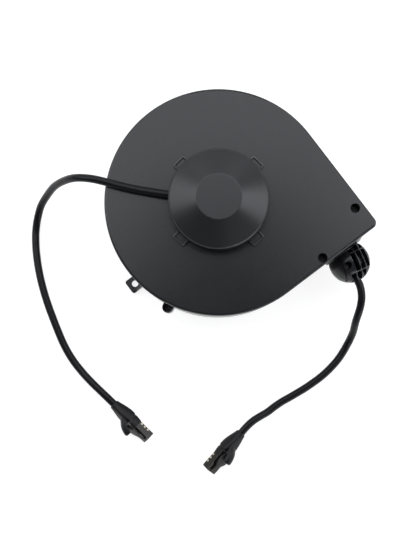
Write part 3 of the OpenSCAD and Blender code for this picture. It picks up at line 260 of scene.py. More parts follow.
rest()
bpy.ops.mesh.primitive_plane_add(size=FLOOR_SIZE, location=(0, 0, -FLOOR_DROP))
floor = bpy.context.object
floor.name = "studio_floor"
sweep = bpy.data.materials.new("white_sweep")
sweep.use_nodes = True
tree = sweep.node_tree
tree.nodes.clear()
lit = add_node(tree, "ShaderNodeBsdfDiffuse", {"Color": grey(PAPER)})
shown = add_node(tree, "ShaderNodeBsdfDiffuse", {"Color": grey(SEEN_PAPER)})
own_white = add_node(tree, "ShaderNodeEmission", {"Color": grey(1), "Strength": OWN_WHITE})
both = add_node(tree, "ShaderNodeAddShader")
tree.links.new(shown.outputs[0], both.inputs[0])
tree.links.new(own_white.outputs[0], both.inputs[1])
seen = seen_by(tree, "Is Camera Ray", "Is Glossy Ray", "Is Transmission Ray")
end = add_node(tree, "ShaderNodeOutputMaterial")
tree.links.new(either(tree, seen, lit.outputs[0], both.outputs[0]), end.inputs["Surface"])
floor.data.materials.append(sweep)
print("floor size:", tuple(round(x, 1) for x in floor.dimensions))

# %% [markdown]
# ## The room
# Glossy plastic shows its room. White walls would make the whole reel grey, and a black room would hide its
# edges. So reflections see a pale wall that dims to a dark ceiling, the camera sees pure white, and the room
# is only a faint lamp.

# %% World
WALL_TOP, CEILING_FROM = 0.05, 0.35  # how far up the view looks: 0 is level and 1 straight up
WALL_GREY, CEILING_LEVEL, ROOM_GLOW = 0.8, 0.12, 0.15

world = bpy.data.worlds.new("studio")
bpy.context.scene.world = world
world.use_nodes = True
tree = world.node_tree
tree.nodes.clear()
direction = add_node(tree, "ShaderNodeTexCoord")
height = add_node(tree, "ShaderNodeSeparateXYZ")
tree.links.new(direction.outputs["Generated"], height.inputs[0])
fade = {"From Min": WALL_TOP, "From Max": CEILING_FROM, "To Min": 1.0, "To Max": CEILING_LEVEL}
ceiling = add_node(tree, "ShaderNodeMapRange", fade, interpolation_type="SMOOTHSTEP")
tree.links.new(height.outputs["Z"], ceiling.inputs["Value"])
reflected = add_node(tree, "ShaderNodeBackground", {"Color": grey(WALL_GREY)})
tree.links.new(ceiling.outputs["Result"], reflected.inputs["Strength"])
ambient = add_node(tree, "ShaderNodeBackground", {"Color": grey(WALL_GREY), "Strength": ROOM_GLOW})
white = add_node(tree, "ShaderNodeBackground", {"Color": grey(1), "Strength": 1.0})
room = either(tree, seen_by(tree, "Is Glossy Ray"), ambient.outputs[0], reflected.outputs[0])
straight = seen_by(tree, "Is Camera Ray", "Is Transmission Ray")
end = add_node(tree, "ShaderNodeOutputWorld")
tree.links.new(either(tree, straight, room, white.outputs[0]), end.inputs["Surface"])
print("nodes in the world:", len(tree.nodes))

# %% [markdown]
# ## The lamps
# The flat front face mirrors what hangs overhead. The panels hang over the upper half of the picture and stop
# short of the camera, as they must, which leaves the lower half of the face dark. A box at each side and a
# low one in front light the edges and the cords. Each lamp could be turned by hand, but a row that says where
# it hangs and where it aims is easier to read and to change.

# %% Lamps
RIGHT_ON_TABLE = Vector((0.7986, -0.6018, 0))
UP_ON_TABLE = Vector((0.6018, 0.7986, 0))
LAMP_TINT = (0.935, 0.95, 1.0)
LAMPS = [  # name; place and aim, each as right, up and height; width, depth and brightness of its face
    ("upper_panel", (0.0, 0.93, 1.0), (0.0, 0.93, 0), 2.1, 1.60, 2.1),
    ("left_panel", (-0.61, 0.05, 1.0), (-0.61, 0.05, 0), 0.96, 0.16, 2.2),
    ("right_panel", (0.64, 0.065, 1.0), (0.64, 0.065, 0), 0.90, 0.13, 2.7),
    ("left_box", (-1.08, 0.30, 0.75), (0, 0, 0.08), 0.55, 0.9, 2.55),
    ("right_box", (1.15, 0.05, 0.75), (0, 0, 0.08), 0.55, 0.9, 3.2),
    ("low_box", (0.72, -0.94, 0.40), (0, 0, 0.06), 1.1, 0.24, 4.5),
]


def on_table(right, up, height):
    """A place right of and up from the reel's axis in the picture, at that height over the table."""
    return RIGHT_ON_TABLE * right + UP_ON_TABLE * up + Vector((0, 0, height))


def hang_lamp(name, place, aim, wide, deep, brightness):
    """A soft lamp. Its width runs across the picture, and a brightness of 1 is paper white."""
    away = (on_table(*place) - on_table(*aim)).normalized()
    across = (RIGHT_ON_TABLE - away * RIGHT_ON_TABLE.dot(away)).normalized()
    lamp = bpy.data.lights.new(name, "AREA")
    lamp.shape = "RECTANGLE"
    lamp.size, lamp.size_y = wide, deep
    lamp.energy = brightness * math.pi * wide * deep
    lamp.color = LAMP_TINT
    box = bpy.data.objects.new(name, lamp)
    turn = Matrix((across, away.cross(across), away)).transposed()
    box.matrix_world = Matrix.Translation(on_table(*place)) @ turn.to_4x4()
    bpy.context.scene.collection.objects.link(box)


for row in LAMPS:
    hang_lamp(*row)
print("lamps:", len(bpy.data.lights))

# %% [markdown]
# ## Effects that the finishes share
# Moulded plastic is never one flat colour. It has a fine grain from the mould, slow changes of tone where the
# melt flowed, and faint rubs from handling. A picture could hold these, but a picture stretches and repeats,
# so they are computed from the place on the piece. They live in one group, and each material sets how strong
# they are.

# %% Helpers for the group
def new_group(name, inputs, outputs):
    """A node group with these sockets, and its two end nodes."""
    group = bpy.data.node_groups.new(name, "ShaderNodeTree")
    for label, kind, value in inputs:
        socket = group.interface.new_socket(name=label, in_out="INPUT", socket_type=kind)
        if value is not None:
            socket.default_value = value
    for label, kind in outputs:
        group.interface.new_socket(name=label, in_out="OUTPUT", socket_type=kind)
    return group, add_node(group, "NodeGroupInput"), add_node(group, "NodeGroupOutput")


def noise(tree, place, scale, detail, stretch=None):
    """Noise at so many bumps a metre, from 0 to 1, stretched along an axis where that is wanted."""
    if stretch:
        mapping = add_node(tree, "ShaderNodeMapping", {"Scale": stretch})
        tree.links.new(place, mapping.inputs["Vector"])
        place = mapping.outputs["Vector"]
    texture = add_node(tree, "ShaderNodeTexNoise", {"Detail": detail})
    feed(tree, texture.inputs["Scale"], scale)
    tree.links.new(place, texture.inputs["Vector"])
    return texture.outputs["Fac"]


def remap(tree, value, low, high, to_low, to_high):
    """The value moved from one range to another, and kept inside it."""
    ends = {"From Min": low, "From Max": high, "To Min": to_low, "To Max": to_high}
    node = add_node(tree, "ShaderNodeMapRange", ends)
    tree.links.new(value, node.inputs["Value"])
    return node.outputs["Result"]


print("helpers: new_group, noise, remap")

# %% Group: moulded skin
COLOUR, NUMBER, VECTOR = "NodeSocketColor", "NodeSocketFloat", "NodeSocketVector"
FLOW, RUB, SCRATCH = 14, 60, 260  # bumps a metre
skin, given, result = new_group(
    "moulded_skin",
    [("Place", VECTOR, None), ("Colour", COLOUR, (0.1, 0.1, 0.1, 1)), ("Roughness", NUMBER, 0.5),
     ("Tone change", NUMBER, 0.06), ("Rubs", NUMBER, 0.1), ("Grain size", NUMBER, 2500.0)],
    [("Colour", COLOUR), ("Roughness", NUMBER), ("Height", NUMBER)])
place = given.outputs["Place"]
tone = noise(skin, place, FLOW, 3)
rub = remap(skin, noise(skin, place, RUB, 4, (1, 9, 1)), 0.62, 0.78, 0, 1)
scratch = remap(skin, noise(skin, place, SCRATCH, 1, (18, 0.6, 1)), 0.70, 0.76, 0, 1)
worn = compute(skin, "MULTIPLY", compute(skin, "MAXIMUM", rub, scratch), given.outputs["Rubs"])
shift = compute(skin, "MULTIPLY", compute(skin, "SUBTRACT", tone, 0.5), given.outputs["Tone change"])
# A lighter patch is also a little duller, while a rub is paler and smoother.
brighter = compute(skin, "ADD", 1.0, compute(skin, "MULTIPLY", shift, 4.0))
tint = add_node(skin, "ShaderNodeVectorMath", operation="SCALE")
skin.links.new(given.outputs["Colour"], tint.inputs[0])
skin.links.new(compute(skin, "ADD", brighter, worn), tint.inputs["Scale"])
grain = noise(skin, place, given.outputs["Grain size"], 3)
duller = compute(skin, "MULTIPLY", shift, 1.5)
smoother = compute(skin, "MULTIPLY", worn, 0.4)
sheen = compute(skin, "ADD", given.outputs["Roughness"], compute(skin, "SUBTRACT", duller, smoother))
speckled = compute(skin, "ADD", sheen, remap(skin, grain, 0.3, 0.7, -0.05, 0.05))
skin.links.new(tint.outputs[0], result.inputs["Colour"])
skin.links.new(speckled, result.inputs["Roughness"])
skin.links.new(grain, result.inputs["Height"])
print("nodes in the group:", len(skin.nodes))

# %% [markdown]
# ## Plastics
# The casing, the boots and the cords are plastics that differ in colour, gloss and grain. Each could have a
# tree of its own, but one recipe serves them all: colour, roughness and a shallow bump from the shared group.
# Numbers that are the same all over a surface, such as how much it reflects, are set on the shader itself.

# %% Recipe for a plastic
def new_material(name, values=None):
    """A material with one surface shader, then its tree and the socket of the place on the piece."""
    material = bpy.data.materials.new(name)
    material.use_nodes = True
    tree = material.node_tree
    tree.nodes.clear()
    shader = add_node(tree, "ShaderNodeBsdfPrincipled", values)
    end = add_node(tree, "ShaderNodeOutputMaterial")
    tree.links.new(shader.outputs[0], end.inputs["Surface"])
    return material, tree, shader, add_node(tree, "ShaderNodeTexCoord").outputs["Object"]


def add_bump(tree, shader, height, depth):
    """Lets a height press into the surface by depth, in metres."""
    bump = add_node(tree, "ShaderNodeBump", {"Strength": 1.0, "Distance": depth})
    tree.links.new(height, bump.inputs["Height"])
    tree.links.new(bump.outputs["Normal"], shader.inputs["Normal"])


def plastic(name, colour, roughness, shine=0.5, tone=0.05, rubs=0.08, grain=2500.0, depth=0.00003):
    """A moulded plastic with grain, slow tone changes and faint rubs."""
    material, tree, shader, where = new_material(name, {"Specular IOR Level": shine})
    own = {"Colour": (*colour, 1), "Roughness": roughness, "Tone change": tone, "Rubs": rubs,
           "Grain size": grain}
    group = add_node(tree, "ShaderNodeGroup", own, node_tree=skin)
    tree.links.new(where, group.inputs["Place"])
    tree.links.new(group.outputs["Colour"], shader.inputs["Base Color"])
    tree.links.new(group.outputs["Roughness"], shader.inputs["Roughness"])
    add_bump(tree, shader, group.outputs["Height"], depth)
    return material


print("sockets of the shared group:", len(skin.interface.items_tree))

# %% The plastics of the reel
SATIN, FINE, GLOSSY, CORE_GRAIN = 0.000012, 0.00001, 0.000006, 0.000005  # depth of the grain, in metres

casing_plastic = plastic("casing_plastic", (0.0075, 0.0078, 0.0092), 0.27, depth=SATIN)
cap_plastic = plastic("cap_plastic", (0.0120, 0.0124, 0.0141), 0.35, depth=SATIN)
# A pale plastic for the upper edges of the lugs round the cap, a painted highlight.
rubbed_edge = plastic("rubbed_edge", (0.085, 0.088, 0.095), 0.30, rubs=0.3, depth=SATIN)
black_plastic = plastic("black_plastic", (0.0085, 0.0088, 0.0102), 0.45, shine=0.3, depth=FINE)
ball_plastic = plastic("ball_plastic", (0.0125, 0.0128, 0.0150), 0.23, shine=0.4, rubs=0.02, depth=GLOSSY)
jacket = plastic("cord_jacket", (0.0055, 0.0055, 0.0069), 0.32, shine=0.2, tone=0.03, grain=1400.0,
                 depth=FINE)
boot_plastic = plastic("boot_plastic", (0.0050, 0.0050, 0.0060), 0.42, shine=0.25, depth=FINE)
latch_plastic = plastic("latch_plastic", (0.0200, 0.0195, 0.0185), 0.40, shine=0.3, depth=FINE)
pale_plastic = plastic("pale_plastic", (0.70, 0.69, 0.64), 0.45, tone=0.02, rubs=0.02)
beige_plastic = plastic("beige_plastic", (0.55, 0.49, 0.38), 0.42, tone=0.02, rubs=0.02)
print("materials so far:", len(bpy.data.materials))

# %% [markdown]
# ## Metals and the see-through plug
# Turned brass and steel show fine lines. They could be cut into the mesh, but they are far too fine, so a
# stretched noise moves the tone and the gloss. The plug is clear plastic with a smoky tint, which glass
# shading gives, and its plain transmission is set on the shader itself.

# %% Metals and clear plastic
DRAWN_LINES, SMUDGES = 900, 220  # bumps a metre
SMUDGE_DEPTH = 0.000002


def metal(name, colour, roughness):
    """A metal with fine drawn lines."""
    material, tree, shader, where = new_material(name, {"Metallic": 1.0})
    drawn = noise(tree, where, DRAWN_LINES, 2, (1, 1, 12))
    ends = {"A": tuple(c * 0.85 for c in colour) + (1,), "B": tuple(min(1, c * 1.08) for c in colour) + (1,)}
    tone = add_node(tree, "ShaderNodeMix", ends, data_type="RGBA")
    tree.links.new(drawn, tone.inputs["Factor"])
    tree.links.new(tone.outputs["Result"], shader.inputs["Base Color"])
    rough = remap(tree, drawn, 0.3, 0.7, roughness - 0.08, roughness + 0.08)
    tree.links.new(rough, shader.inputs["Roughness"])
    add_bump(tree, shader, drawn, FINE)
    return material


brass = metal("brass", (0.75, 0.52, 0.22), 0.28)
steel = metal("steel", (0.56, 0.57, 0.59), 0.32)
black_steel = metal("blackened_steel", (0.035, 0.035, 0.038), 0.38)

smoky = {"Base Color": (0.030, 0.026, 0.021, 1), "Transmission Weight": 0.5, "IOR": 1.5,
         "Specular IOR Level": 0.3}
smoky_plastic, tree, shader, where = new_material("smoky_clear_plastic", smoky)
smudge = noise(tree, where, SMUDGES, 3)
tree.links.new(remap(tree, smudge, 0.3, 0.7, 0.10, 0.24), shader.inputs["Roughness"])
add_bump(tree, shader, smudge, SMUDGE_DEPTH)
print("metals and glass:", brass.name, steel.name, black_steel.name, smoky_plastic.name)

# %% [markdown]
# ## Which finish goes on what
# The frame says for each piece what it is made of. Every piece could be dressed by its name, but one table of
# slots is enough, and the few exceptions are set where those pieces are made.

# %% Finishes on the frame and the cords
finish_of = {
    "casing": casing_plastic, "cap": cap_plastic, "black_plastic": black_plastic, "black_screw": black_steel,
    "ball": ball_plastic, "cable": jacket, "boot": boot_plastic, "plug": smoky_plastic,
    "core_wire": beige_plastic, "brass": brass, "steel": steel, "white_plastic": pale_plastic,
    "load_bar": beige_plastic,
}


def wear(piece, material):
    """Puts one material all over the piece."""
    piece.data.materials.clear()
    piece.data.materials.append(material)


for name, piece in nodes.items():
    wear(piece, finish_of[slot_of[name]])
for cord in cords.values():
    wear(cord["piece"], jacket)
print("finished nodes:", len(nodes))

# %% [markdown]
# ## Rounded edges on the moulded and machined pieces
# The engineering pieces have sharp edges, but a mould or a tool always leaves a small radius, and that radius
# is what catches the light. The radius could be modelled edge by edge. Here a merged copy of each visible
# piece gets a bevel on every edge that is sharper than 32 degrees, and then normals that keep its flats flat.

# %% Soft-edged copies
SHARP_EDGE = math.radians(32)
SAME_PLACE = 0.000002  # points closer than this are one point
HAIR = 0.0001  # slack for finding points by their place


def even_shading(piece, smooth_below):
    """Smooth shading below that angle in degrees, with normals that keep the flats flat."""
    bpy.ops.object.shade_smooth_by_angle(angle=math.radians(smooth_below))
    flats = piece.modifiers.new("flats", "WEIGHTED_NORMAL")
    flats.keep_sharp = True
    bpy.ops.object.modifier_apply(modifier=flats.name)


def soften(node, rounding, material=None, name=None, before=None):
    """A copy of a node with rounded edges, on the same body, which stands for the node. The function before
    may shape the merged copy in edit mode, ahead of the rounding."""
    piece = bpy.data.objects.new(name or node + "_finished", nodes[node].data.copy())
    bpy.context.scene.collection.objects.link(piece)
    wake(piece)
    bpy.ops.object.mode_set(mode="EDIT")
    bpy.ops.mesh.select_mode(type="VERT")
    bpy.ops.mesh.select_all(action="SELECT")
    bpy.ops.mesh.remove_doubles(threshold=SAME_PLACE)
    if before:
        before(piece)
    bpy.ops.object.mode_set(mode="OBJECT")
    edges = piece.modifiers.new("rounding", "BEVEL")
    edges.width, edges.segments = rounding, 2
    edges.limit_method, edges.angle_limit = "ANGLE", SHARP_EDGE
    edges.miter_outer = "MITER_ARC"
    bpy.ops.object.modifier_apply(modifier=edges.name)
    even_shading(piece, 40)
    if material:
        wear(piece, material)
    stand_for(piece, node)
    return piece


def pick(piece, kind, test):
    """Selects, in edit mode, only those faces, edges or points of the piece that pass the test."""
    bpy.ops.mesh.select_mode(type=kind)
    bpy.ops.mesh.select_all(action="DESELECT")
    shape = bmesh.from_edit_mesh(piece.data)
    held = {"FACE": shape.faces, "EDGE": shape.edges, "VERT": shape.verts}[kind]
    found = [item for item in held if test(item)]
    for item in found:
        item.select_set(True)
    shape.select_flush_mode()
    bmesh.update_edit_mesh(piece.data)
    return len(found)


print("edges are rounded past", round(math.degrees(SHARP_EDGE)), "degrees")

# %% [markdown]
# ## The casing, the ball and the screws
# The big mouldings have the widest radius and the screws the smallest. The upper edges of the four lugs round
# the cap get a wider rounding, and that rounding gets a pale plastic of its own: a painted highlight.

# %% Casing, ball and screws
LUG_INNER, LUG_OUTER, LUG_TOP = 0.0385, 0.048, 0.0707  # the lugs' edges lie between these and above this
LUG_ROUNDING, LUG_EDGE = 0.0004, 0.8  # the second is the least angle between faces, in radians
ROUNDINGS = {
    "rear_shell": 0.0003, "front_shell": 0.0003, "outlet_guide": 0.0002, "ball_upper_half": 0.00015,
    "ball_lower_half": 0.00015, "corner_screws": 0.00015, "rim_screw": 0.00015, "ball_screws": 0.00012,
}


def paint_lug_highlights(piece):
    """Gives the lugs' upper edges round the cap a wider rounding in a pale plastic, a painted highlight."""
    piece.data.materials.append(rubbed_edge)

    def on_lug(edge):
        near = all(LUG_INNER < math.hypot(v.co.x, v.co.y) < LUG_OUTER for v in edge.verts)
        return near and all(v.co.z > LUG_TOP for v in edge.verts) and edge.calc_face_angle(0) > LUG_EDGE
    print("lug edges:", pick(piece, "EDGE", on_lug))
    # The faces of this bevel take the pale plastic, a painted highlight.
    bpy.ops.mesh.bevel(offset=LUG_ROUNDING, segments=2, affect="EDGES", clamp_overlap=False, material=1)


for node, rounding in ROUNDINGS.items():
    soften(node, rounding, black_plastic if node == "corner_screws" else None,
                            before=paint_lug_highlights if node == "front_shell" else None)

# %% [markdown]
# ## The hub cap
# The cap over the end of the axle has an upright side, a small bevel, a shallow cone and a flat disc. It
# could be rounded like the other pieces, but its cone is so smooth that every facet would show in the gloss.
# So its wall is made from a circle whose edge is extruded ring by ring, down the inside and up the outside.

# %% Wall of the cap
CAP_BASE = 0.068  # height of the casing's face
CAP_OUTLINE = [  # radius and height over the face, in millimetres
    (17.6, 25.37), (37.2, 15.0), (37.2, 0.0), (39.2, 0.0), (39.2, 14.6), (38.95, 15.15), (38.2, 15.9),
    (37.6, 16.38), (18.0, 26.77), (17.6, 26.93), (17.2, 27.0),
]

rest()
first_radius, first_height = CAP_OUTLINE[0]
bpy.ops.mesh.primitive_circle_add(vertices=144, radius=first_radius / 1000, fill_type="NGON",
                                  location=(0, 0, CAP_BASE + first_height / 1000))
cap = bpy.context.object
cap.name = "hub_cap_finished"
bpy.ops.object.transform_apply(location=True, rotation=True, scale=True)
bpy.ops.object.mode_set(mode="EDIT")
bpy.ops.mesh.select_mode(type="EDGE")
bpy.ops.mesh.select_all(action="SELECT")
for (r0, h0), (r1, h1) in zip(CAP_OUTLINE, CAP_OUTLINE[1:]):
    bpy.ops.mesh.extrude_edges_move(TRANSFORM_OT_translate={"value": (0, 0, (h1 - h0) / 1000)})
    bpy.ops.transform.resize(value=(r1 / r0, r1 / r0, 1), center_override=(0, 0, 0))
bpy.ops.mesh.edge_face_add()
bpy.ops.mesh.select_all(action="SELECT")
bpy.ops.mesh.normals_make_consistent(inside=False)
bpy.ops.object.mode_set(mode="OBJECT")
print("cap wall:", [round(x, 4) for x in cap.dimensions])

# %% [markdown]
# ## The cap's tabs
# Four flat tabs stand out of the cap's foot, each held by a lug. They could be extruded from the wall, but
# its rings have no face of the right width. So a box is put in the wall, turned and joined, once for each.

# %% Tabs
WALL_MIDDLE = 0.0382
TAB_WIDE, TAB_THICK, TAB_OUT = 0.0086, 0.002, 0.0044
TAB_ROOT = 0.001  # how far a tab starts inside the cap's side
TAB_ROUNDING = 0.0003
FIRST_TAB = 8  # degrees


def add_box(size, place):
    """A box of that size with its middle at that place."""
    rest()
    bpy.ops.mesh.primitive_cube_add(size=1, location=place)
    box = bpy.context.object
    box.scale = size
    bpy.ops.object.transform_apply(location=True, rotation=True, scale=True)
    return box


def cut_with(piece, cutter, operation):
    """Joins the cutter to the piece or takes it away, and removes the cutter."""
    wake(piece)
    cut = piece.modifiers.new("cut", "BOOLEAN")
    cut.operation, cut.object, cut.solver = operation, cutter, "EXACT"
    bpy.ops.object.modifier_apply(modifier=cut.name)
    rest()
    bpy.data.objects.remove(cutter)


for k in range(4):
    tab = add_box((TAB_OUT + TAB_ROOT, TAB_WIDE, TAB_THICK),
                  (WALL_MIDDLE + TAB_OUT / 2 + TAB_ROOT / 2, 0, CAP_BASE + TAB_THICK / 2))
    bpy.ops.object.mode_set(mode="EDIT")
    pick(tab, "EDGE", lambda edge: all(v.co.z > CAP_BASE + TAB_THICK / 2 for v in edge.verts))
    bpy.ops.mesh.bevel(offset=TAB_ROUNDING, segments=2, affect="EDGES")
    bpy.ops.mesh.select_all(action="SELECT")
    bpy.ops.transform.rotate(value=-math.radians(FIRST_TAB + 90 * k), orient_axis="Z",
                             center_override=(0, 0, 0))
    bpy.ops.object.mode_set(mode="OBJECT")
    cut_with(cap, tab, "UNION")
print("cap with tabs:", [round(x, 4) for x in cap.dimensions])

# %% [markdown]
# ## The slot for the lead
# The fixed lead leaves the cap through a slot that is round at the top and open at the foot, so that the cap
# can be lifted off over it. It could be cut by a cylinder and a box, but one cutter is cleaner: a cylinder
# across the wall, with its lower half drawn down past the foot.

# %% Slot
LEAD_WAY = math.radians(134)  # direction in which the lead leaves
LEAD_STEP, LEAD_HEIGHT = 0.0015, 0.0722  # its step to the side and its height
SLOT_HALF, SLOT_CUTTER = 0.0036, 0.009
PAST_FOOT = 0.001  # how far the cutter reaches below the cap
ALONG_X, ALONG_Y = (0, math.pi / 2, 0), (math.pi / 2, 0, 0)


def add_cylinder(sides, radius, length, place, turn):
    """A cylinder with its middle at that place, turned along an axis."""
    rest()
    bpy.ops.mesh.primitive_cylinder_add(vertices=sides, radius=radius, depth=length, location=place,
                                        rotation=turn)
    bpy.ops.object.transform_apply(location=True, rotation=True, scale=True)
    return bpy.context.object


slot = add_cylinder(48, SLOT_HALF, SLOT_CUTTER, (WALL_MIDDLE, LEAD_STEP, LEAD_HEIGHT), ALONG_X)
bpy.ops.object.mode_set(mode="EDIT")
pick(slot, "VERT", lambda v: v.co.z < LEAD_HEIGHT - HAIR)
bpy.ops.transform.resize(value=(1, 1, 0), center_override=(0, 0, CAP_BASE - PAST_FOOT))
bpy.ops.mesh.select_all(action="SELECT")
bpy.ops.transform.rotate(value=-LEAD_WAY, orient_axis="Z", center_override=(0, 0, 0))
bpy.ops.object.mode_set(mode="OBJECT")
cut_with(cap, slot, "DIFFERENCE")
wake(cap)
even_shading(cap, 30)
wear(cap, cap_plastic)
stand_for(cap, "hub_cap")
print("cap:", [round(x, 4) for x in cap.dimensions], "faces:", len(cap.data.polygons))

# %% [markdown]
# ## Plugs and contacts
# The plug is a clear block whose edges are barely rounded, so that it sits well in a socket, and the contacts
# are stamped. They could be modelled again, but the frame has their shape, so they are rounded like the
# casing, each by its own small amount. The pale bar that holds the cores has teeth that reach the plug's
# sides, so its teeth are widened until they show there.

# %% Soft-edged plug pieces
BAR_TEETH, PLUG_SIDE = 0.0047, 0.00586  # from the plug's middle to the teeth, and to just past its side
PLUG_ROUNDING, CONTACT_ROUNDING, BAR_ROUNDING, CORE_ROUNDING = 0.0003, 0.00006, 0.0001, 0.00005


def plug_frame(at, heading, roll):
    """Where a plug lies: its X axis points forward, its Z axis towards the latch."""
    return (Matrix.Translation(Vector(at) / 1000) @ Matrix.Rotation(math.radians(heading), 4, "Z")
            @ Matrix.Rotation(math.radians(roll), 4, "X"))


plug_place = {"lead": plug_frame(LEAD_ROUTE[-1], -81, 60), "reel": plug_frame(REEL_ROUTE[-1], 191, -45)}
for side, place in plug_place.items():
    soften(side + "_plug", PLUG_ROUNDING)
    soften(side + "_contacts", CONTACT_ROUNDING, brass)
    bar = soften(side + "_load_bar", BAR_ROUNDING, beige_plastic)
    back = place.inverted()
    for vert in bar.data.vertices:
        spot = back @ vert.co
        if abs(spot.y) > BAR_TEETH:
            spot.y = math.copysign(PLUG_SIDE, spot.y)
            vert.co = place @ spot

# %% [markdown]
# ## The eight cores
# Through the smoky plug one sees eight thin cores. A network cord pairs them by colour, one plain and one
# mostly white in each pair. They could be eight objects, but they never move apart, so one copy of the cores
# gets a material slot for each colour, and each face takes the slot of the core it belongs to.

# %% Cores in their colours
CORE_COLOURS = [(0.70, 0.42, 0.22), (0.60, 0.17, 0.02), (0.42, 0.60, 0.40), (0.02, 0.09, 0.38),
                (0.40, 0.50, 0.70), (0.02, 0.22, 0.06), (0.55, 0.45, 0.36), (0.16, 0.06, 0.02)]
JACKET_END, CORE_PITCH = 0.0201, 0.00102  # forward of the first, the cores lie side by side at that pitch

core_finish = [plastic("core_%d" % (i + 1), colour, 0.4, tone=0.02, rubs=0.02, depth=CORE_GRAIN)
               for i, colour in enumerate(CORE_COLOURS)]
for side, place in plug_place.items():
    cores = soften(side + "_wires", CORE_ROUNDING, name=side + "_cores")
    wear(cores, jacket)
    for material in core_finish:
        cores.data.materials.append(material)
    back = place.inverted()
    for face in cores.data.polygons:
        centre = back @ face.center
        if centre.x > JACKET_END:
            face.material_index = 1 + min(7, max(0, round(centre.y / CORE_PITCH + 3.5)))
    print(side, "core faces:", sum(face.material_index > 0 for face in cores.data.polygons))

# %% [markdown]
# ## The boots
# A boot is a soft sleeve moulded over the cord. It starts round at the cord and swells into a box with
# rounded corners, then has a shallow groove and a collar round the plug. It could be sculpted, but a coarse
# cage under a subdivision surface gives the same soft outline from a dozen rings. The first ring is an
# eight-sided cylinder, and each next ring is its front face pulled forward and scaled.

# %% Boot cage
BOOT_RINGS = [  # forward, half width, lowest, highest, in millimetres
    (1.3, 4.3, -4.3, 4.2), (3.6, 4.45, -4.5, 4.3), (6, 4.95, -4.95, 4.55), (9, 5.5, -5.45, 4.85),
    (12, 6.0, -5.85, 5.05), (15, 6.4, -6.0, 5.05), (17.9, 6.55, -5.85, 4.95), (19.0, 6.5, -5.65, 4.75),
    (19.4, 6.0, -5.15, 4.4), (20.5, 6.0, -5.15, 4.4), (20.9, 6.55, -5.45, 4.65), (24, 6.5, -5.05, 4.5),
    (26.7, 6.4, -4.7, 4.3), (27.5, 6.1, -4.25, 4.0),
]
FLAT_REACH = [0.44, 0.52, 0.60, 0.66, 0.70, 0.72] + [0.74] * 8  # half a flat, as a part of the half width
OCTAGON_REACH = 0.4142  # the same on an even octagon
REAR_RIM = 0.93  # the rear face is this much smaller, which rounds the rim
ON_RING = 0.00005


def pull_rings(rings):
    """Extrudes the selected face through rings of forward, half width, lowest and highest."""
    for (x0, w0, low0, high0), (x1, w1, low1, high1) in zip(rings, rings[1:]):
        rise = (low1 + high1 - low0 - high0) / 2
        bpy.ops.mesh.extrude_region_move(
            TRANSFORM_OT_translate={"value": ((x1 - x0) / 1000, 0, rise / 1000)})
        bpy.ops.transform.resize(value=(1, w1 / w0, (high1 - low1) / (high0 - low0)),
                                 center_override=(x1 / 1000, 0, (low1 + high1) / 2000))


def facing_front(face):
    return face.normal.x > 0.99


boot_start, boot_half = BOOT_RINGS[0][0] / 1000, BOOT_RINGS[0][1] / 1000
boot = add_cylinder(8, boot_half / math.cos(math.pi / 8), boot_start, (boot_start / 2, 0, 0), ALONG_X)
bpy.ops.object.mode_set(mode="EDIT")
bpy.ops.mesh.select_all(action="SELECT")
bpy.ops.transform.rotate(value=math.pi / 8, orient_axis="X", center_override=(0, 0, 0))
pick(boot, "FACE", lambda face: face.normal.x < -0.99)
bpy.ops.transform.resize(value=(1, REAR_RIM, REAR_RIM), center_override=(0, 0, 0))
pick(boot, "FACE", facing_front)
pull_rings(BOOT_RINGS)
# The flats of the front rings reach further across, which makes the round section square.
for (x, wide, low, high), reach in zip(BOOT_RINGS, FLAT_REACH):
    mid, half, grow = (low + high) / 2000, (high - low) / 2000, reach / OCTAGON_REACH
    pick(boot, "VERT", lambda v: abs(v.co.x - x / 1000) < ON_RING and abs(v.co.z - mid) > 0.8 * half)
    bpy.ops.transform.resize(value=(1, grow, 1), center_override=(0, 0, 0))
    pick(boot, "VERT", lambda v: abs(v.co.x - x / 1000) < ON_RING and abs(v.co.z - mid) < 0.8 * half)
    bpy.ops.transform.resize(value=(1, 1, grow), center_override=(0, 0, mid))
print("cage rings:", len(BOOT_RINGS), "points:", len(bmesh.from_edit_mesh(boot.data).verts))

# %% [markdown]
# ## The hood
# A hood stands on the boot and reaches over the latch, so that the latch can't catch when the cord is pulled
# out of a tangle. It is a thick fin, open at both sides round the latch. The fin is pulled from a box in the
# same way as the body, and the two are joined into one skin.

# %% Hood
HOOD_RINGS = [  # forward, half width, lowest, highest, in millimetres
    (11.0, 3.3, 1.0, 3.9), (13.3, 3.8, 1.0, 5.5), (15.2, 4.2, 1.0, 7.2), (17.2, 4.35, 1.0, 9.3),
    (19.4, 4.4, 1.0, 11.0), (22.0, 4.4, 1.0, 12.1), (24.6, 4.3, 1.0, 12.9), (26.6, 4.1, 1.0, 12.9),
    (27.5, 3.8, 1.6, 11.2),
]


def soften_cage(piece):
    """A subdivision surface over the cage, applied."""
    bpy.ops.object.mode_set(mode="OBJECT")
    smooth = piece.modifiers.new("soft_outline", "SUBSURF")
    smooth.levels = smooth.render_levels = 3
    bpy.ops.object.modifier_apply(modifier=smooth.name)


def pull_cage(rings, first_step, corner):
    """A box with its long edges cut by corner, as long as the first step, and then pulled through the rings,
    all in millimetres. It is left in edit mode."""
    x, wide, low, high = rings[0]
    next_x = x + first_step
    piece = add_box(((next_x - x) / 1000, 2 * wide / 1000, (high - low) / 1000),
                    ((x + next_x) / 2000, 0, (low + high) / 2000))
    bpy.ops.object.mode_set(mode="EDIT")
    pick(piece, "EDGE", lambda edge: abs(edge.verts[0].co.x - edge.verts[1].co.x) > HAIR)
    bpy.ops.mesh.bevel(offset=corner / 1000, segments=1, affect="EDGES")
    pick(piece, "FACE", facing_front)
    pull_rings([(next_x, wide, low, high)] + rings[1:])
    return piece


